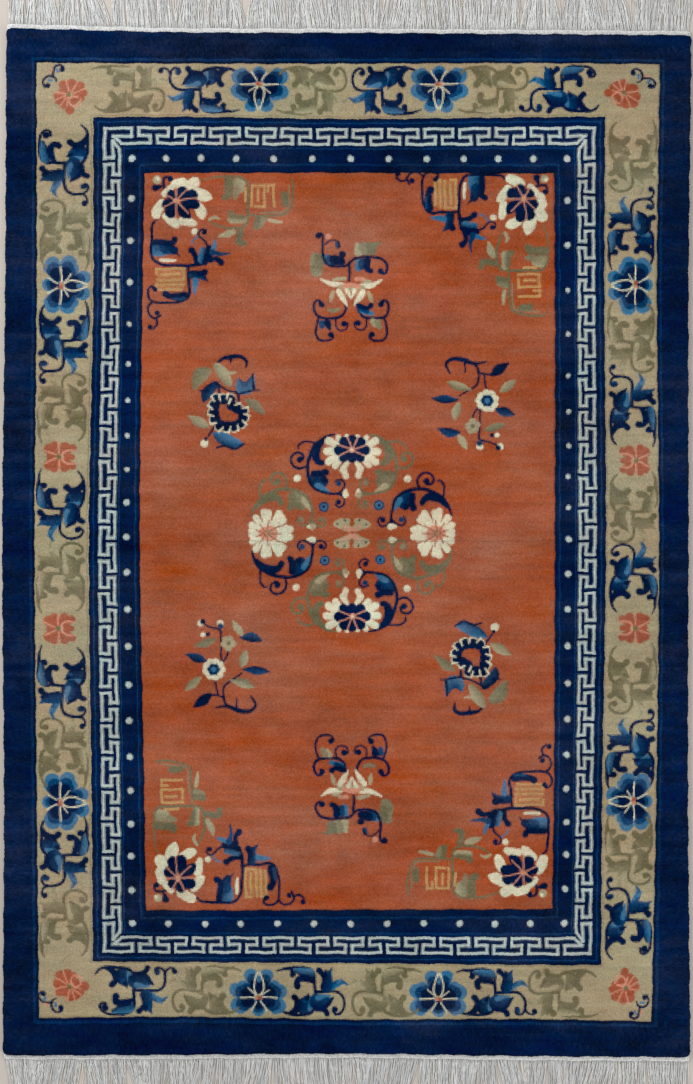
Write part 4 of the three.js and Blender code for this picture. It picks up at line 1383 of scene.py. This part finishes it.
def wool_pile_finish():
    """Cut wool: the dye of each tuft, tufts that part a little, and a soft sheen. Painted light and
    shade make each tuft lighter in its middle and darker at the gaps between tufts, and the fine fluff
    lighter where it stands high.
    """
    finish = Finish("wool_pile", 0.95, 0.02, 0.02)
    dye = finish.dye()
    tufts = finish.cells(330)
    fluff = finish.noise(900, 2.0)
    streaks = finish.noise(1.0, 4.0, finish.stretched((14, 160, 1)))
    shade = finish.ranged(streaks, 0.3, 0.7, 0.93, 1.07)
    # Painted light and shade: each tuft lighter in its middle, darker towards the gaps between tufts.
    tuft_light_and_shade = finish.ranged(tufts, 0.1, 0.7, 1.05, 0.86)
    both = finish.joined(shade, tuft_light_and_shade, "MULTIPLY")
    # A finer mottle, lighter where the fluff stands high in the bump: partly the wool's own tone,
    # partly painted shade.
    fluff_tone_and_shade = finish.ranged(fluff, 0.3, 0.7, 0.94, 1.06)
    finish.colour(finish.shaded(dye, finish.joined(both, fluff_tone_and_shade, "MULTIPLY")))
    relief = finish.joined(finish.ranged(tufts, 0.0, 0.8, 1.0, 0.0), fluff, "ADD")
    finish.bump(relief, 0.0012, 0.6)
    return finish.material


def knotted_back_finish():
    """The underside: rows of knots between cotton wefts, in the colours of the pattern, with painted
    light and shade that makes each knot lighter in its middle and darker towards its edge.
    """
    finish = Finish("knotted_back", 0.95, 0.03, 0.06)
    dye = finish.dye()
    knots = finish.cells(300, finish.stretched((1, 1.15, 0.1)))
    # Painted light and shade: each knot lighter in its middle and darker towards the gaps between
    # knots.
    finish.colour(finish.shaded(dye, finish.ranged(knots, 0.1, 0.7, 1.1, 0.7)))
    finish.bump(finish.ranged(knots, 0.0, 0.8, 1.0, 0.0), 0.001, 0.7)
    return finish.material


def cotton_finish():
    """Undyed plied cotton: its fibre tone along the ply, with painted shade in the ply's grooves, and a
    little grey where it is worn.
    """
    finish = Finish("cotton_fringe", 0.9, 0.08, 0.1)
    tone = finish.dye()
    ply = finish.noise(1.0, 3.0, finish.stretched((1300, 420, 900)))
    # Lighter where the ply stands high and darker in its grooves: partly the yarn's own tone, partly
    # painted shade.
    ply_tone_and_shade = finish.ranged(ply, 0.3, 0.7, 0.88, 1.08)
    wear = finish.ranged(finish.noise(38, 3.0), 0.3, 0.7, 0.93, 1.04)
    finish.colour(finish.shaded(tone, finish.joined(ply_tone_and_shade, wear, "MULTIPLY")))
    finish.bump(ply, 0.0006, 0.5)
    return finish.material


def floor_finish(colour):
    """A plain pale floor with a very faint mottle."""
    finish = Finish("studio_floor", 0.85, 0.0, 0.2)
    mottle = finish.ranged(finish.noise(3.0, 2.0), 0.3, 0.7, 0.99, 1.01)
    finish.colour(finish.shaded(tuple(float(c) for c in colour), mottle))
    return finish.material


def dye_property(label, description, colour):
    """A colour that a dyer would change."""
    return FloatVectorProperty(
        name=label, description=description, default=colour, size=3, min=0, max=1,
        subtype="COLOR_GAMMA")


class RugDyes(bpy.types.PropertyGroup):
    """The dyes of the wool, and the colours of the cotton and the floor."""
    __annotations__ = {name: dye_property(*row) for name, row in DYES.items()}
    __annotations__["cotton"] = dye_property(*COTTON)
    __annotations__["floor"] = dye_property(*FLOOR)


class RugSizes(bpy.types.PropertyGroup):
    """The sizes that a weaver or finisher would change."""
    tuft: FloatProperty(
        name="Tuft", description="Pitch of the cut tufts inside the outer border",
        default=0.0024, min=0.0018, unit="LENGTH")
    plain_tuft: FloatProperty(
        name="Plain tuft", description="Pitch of the tufts in the plain outer border",
        default=0.0045, min=0.002, unit="LENGTH")
    round_over: FloatProperty(
        name="Round over", description="How far in the pile reaches its full height",
        default=0.005, min=0.001, unit="LENGTH")
    carved_width: FloatProperty(
        name="Carved width", description="Groove clipped along the edge of each border",
        default=0.007, min=0.001, unit="LENGTH")
    carved_depth: FloatProperty(
        name="Carved depth", description="Depth of those grooves",
        default=0.0018, min=0, unit="LENGTH")
    outline_depth: FloatProperty(
        name="Outline depth", description="Depth of the clipping round each motif",
        default=0.0007, min=0, unit="LENGTH")
    locks: IntProperty(
        name="Locks", description="Locks of warp ends in one fringe", default=132, min=20)
    yarns: IntProperty(
        name="Yarns", description="Yarns in one lock", default=9, min=2)
    fringe: FloatProperty(
        name="Fringe", description="The longest warp end, from the web to its tip",
        default=0.075, min=0.01, unit="LENGTH")
    ragged: FloatProperty(
        name="Ragged", description="How much shorter the shortest warp end is",
        default=0.012, min=0, unit="LENGTH")


def chosen_dyes(context):
    """The panel's dyes in linear light."""
    return {name: daylight(getattr(context.scene.rug_dyes, name)) for name in DYES}


class PEKING_OT_pile(bpy.types.Operator):
    """Knots the dyed wool pile and carves its outlines"""
    bl_idname = "peking_rug.pile"
    bl_label = "Knot the pile"

    def execute(self, context):
        sizes = context.scene.rug_sizes
        fine, coarse = sizes.tuft * 1000, sizes.plain_tuft * 1000
        rim = (0, 1.0, 2.6, 5.0)
        half_widths, half_lengths = zip(MAIN_BORDER, FRET_BAND, FIELD)
        columns = grid_lines(WIDTH / 2, half_widths, rim, coarse, fine)
        rows = grid_lines(LENGTH / 2, half_lengths, rim, coarse, fine)
        cartoon = weave_pattern(chosen_dyes(context), columns, rows, fine)
        points = pile_surface(cartoon, sizes, 11)
        dye = streaked(cartoon, 12)
        wool = wool_pile_finish()

        def span(lines, half):
            """The grid lines nearest to both sides of a band."""
            return int(np.argmin(np.abs(lines + half))), int(np.argmin(np.abs(lines - half)))

        outlines = ((WIDTH / 2, LENGTH / 2), MAIN_BORDER, FRET_BAND, FIELD)
        whole, main, fret, field = (
            (span(rows, half_length), span(columns, half_width))
            for half_width, half_length in outlines)
        middle = int(np.argmin(np.abs(rows)))
        plan = (
            ("pile_outer_border", *whole, main),
            ("pile_main_border", *main, fret),
            ("pile_fret_band", *fret, field),
            ("pile_field_far", (middle, field[0][1]), field[1], None),
            ("pile_field_near", (field[0][0], middle), field[1], None),
        )
        for name, row_span, column_span, hole in plan:
            pile_piece(name, points, dye, row_span, column_span, hole, wool)
        return {"FINISHED"}


class PEKING_OT_fringes(bpy.types.Operator):
    """Lays out the warp ends of both fringes on the floor"""
    bl_idname = "peking_rug.fringes"
    bl_label = "Comb the fringes"

    def execute(self, context):
        sizes = context.scene.rug_sizes
        white = daylight(context.scene.rug_dyes.cotton)
        cotton = cotton_finish()
        comb_fringe("fringe_yarns_far", 1, sizes, white, cotton, 21)
        comb_fringe("fringe_yarns_near", -1, sizes, white, cotton, 22)
        return {"FINISHED"}


class PEKING_OT_foundation(bpy.types.Operator):
    """Weaves the cotton foundation with its bare web at both ends"""
    bl_idname = "peking_rug.foundation"
    bl_label = "Weave the foundation"

    def execute(self, context):
        cotton = daylight(context.scene.rug_dyes.cotton)
        sheet = woven_sheet(chosen_dyes(context), cotton, knotted_back_finish(), 31)
        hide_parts("rug_body", "fringe_far", "fringe_near")
        return {"FINISHED"}


def lay_floor(scene):
    """A plain floor that lies a hair under the rug."""
    half = 8
    mesh = bpy.data.meshes.new("floor")
    corners = [(-half, -half, 0), (half, -half, 0), (half, half, 0), (-half, half, 0)]
    mesh.from_pydata(corners, [], [(0, 1, 2, 3)])
    mesh.materials.append(floor_finish(daylight(scene.rug_dyes.floor)))
    floor = bpy.data.objects.new("floor", mesh)
    floor.location.z = -0.0002
    scene.collection.objects.link(floor)


def light_studio(scene):
    """An even white surround with two soft lamps, the stronger one at the far left."""
    world = bpy.data.worlds.new("studio")
    world.use_nodes = True
    background = world.node_tree.nodes["Background"]
    background.inputs["Color"].default_value = (1, 0.99, 0.98, 1)
    background.inputs["Strength"].default_value = 0.62
    scene.world = world
    # Each lamp's place, size in metres and power in watts
    lamps = {
        "key_light": ((-2.6, 2.2, 2.6), 2.2, 125),
        "fill_light": ((2.7, -2.0, 2.4), 2.2, 55),
    }
    for name, (place, size, power) in lamps.items():
        lamp = bpy.data.lights.new(name, "AREA")
        lamp.size, lamp.energy = size, power
        holder = bpy.data.objects.new(name, lamp)
        holder.location = place
        aim = -holder.location.normalized()
        holder.rotation_euler = aim.to_track_quat("-Z", "Y").to_euler()
        scene.collection.objects.link(holder)


def hang_camera(scene):
    """A camera that looks straight down on the rug. Its frame cuts both fringes."""
    distance, seen_length = 5.0, 1.9252
    middle_x, middle_y = 0.0004, 0.0038
    camera = bpy.data.cameras.new("camera")
    camera.sensor_width = 36
    camera.lens = camera.sensor_width * (distance - THICKNESS * MM) / seen_length
    eye = bpy.data.objects.new("camera", camera)
    eye.location = (middle_x, middle_y, distance)
    scene.collection.objects.link(eye)
    scene.camera = eye


class PEKING_OT_stage(bpy.types.Operator):
    """Sets the floor, the soft lights and the camera above the rug"""
    bl_idname = "peking_rug.stage"
    bl_label = "Set the stage"

    def execute(self, context):
        context.scene.view_settings.view_transform = "Standard"
        lay_floor(context.scene)
        light_studio(context.scene)
        hang_camera(context.scene)
        return {"FINISHED"}


STEPS = (PEKING_OT_pile, PEKING_OT_fringes, PEKING_OT_foundation, PEKING_OT_stage)


class PEKING_PT_panel(bpy.types.Panel):
    """Lists the sizes, the dyes and the steps in their order"""
    bl_idname = "PEKING_PT_panel"
    bl_label = "Peking rug"
    bl_space_type = "VIEW_3D"
    bl_region_type = "UI"
    bl_category = "Rug"

    def draw(self, context):
        for group in (context.scene.rug_sizes, context.scene.rug_dyes):
            box = self.layout.box()
            for name in group.__annotations__:
                box.prop(group, name)
        for step in STEPS:
            self.layout.operator(step.bl_idname)


CLASSES = (RugDyes, RugSizes, *STEPS, PEKING_PT_panel)


def register():
    for item in CLASSES:
        bpy.utils.register_class(item)
    bpy.types.Scene.rug_dyes = PointerProperty(type=RugDyes)
    bpy.types.Scene.rug_sizes = PointerProperty(type=RugSizes)


def unregister():
    del bpy.types.Scene.rug_sizes
    del bpy.types.Scene.rug_dyes
    for item in reversed(CLASSES):
        bpy.utils.unregister_class(item)


def main():
    register()
    bpy.ops.peking_rug.pile()
    bpy.ops.peking_rug.fringes()
    bpy.ops.peking_rug.foundation()
    bpy.ops.peking_rug.stage()
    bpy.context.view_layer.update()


if __name__ == "__main__":
    main()
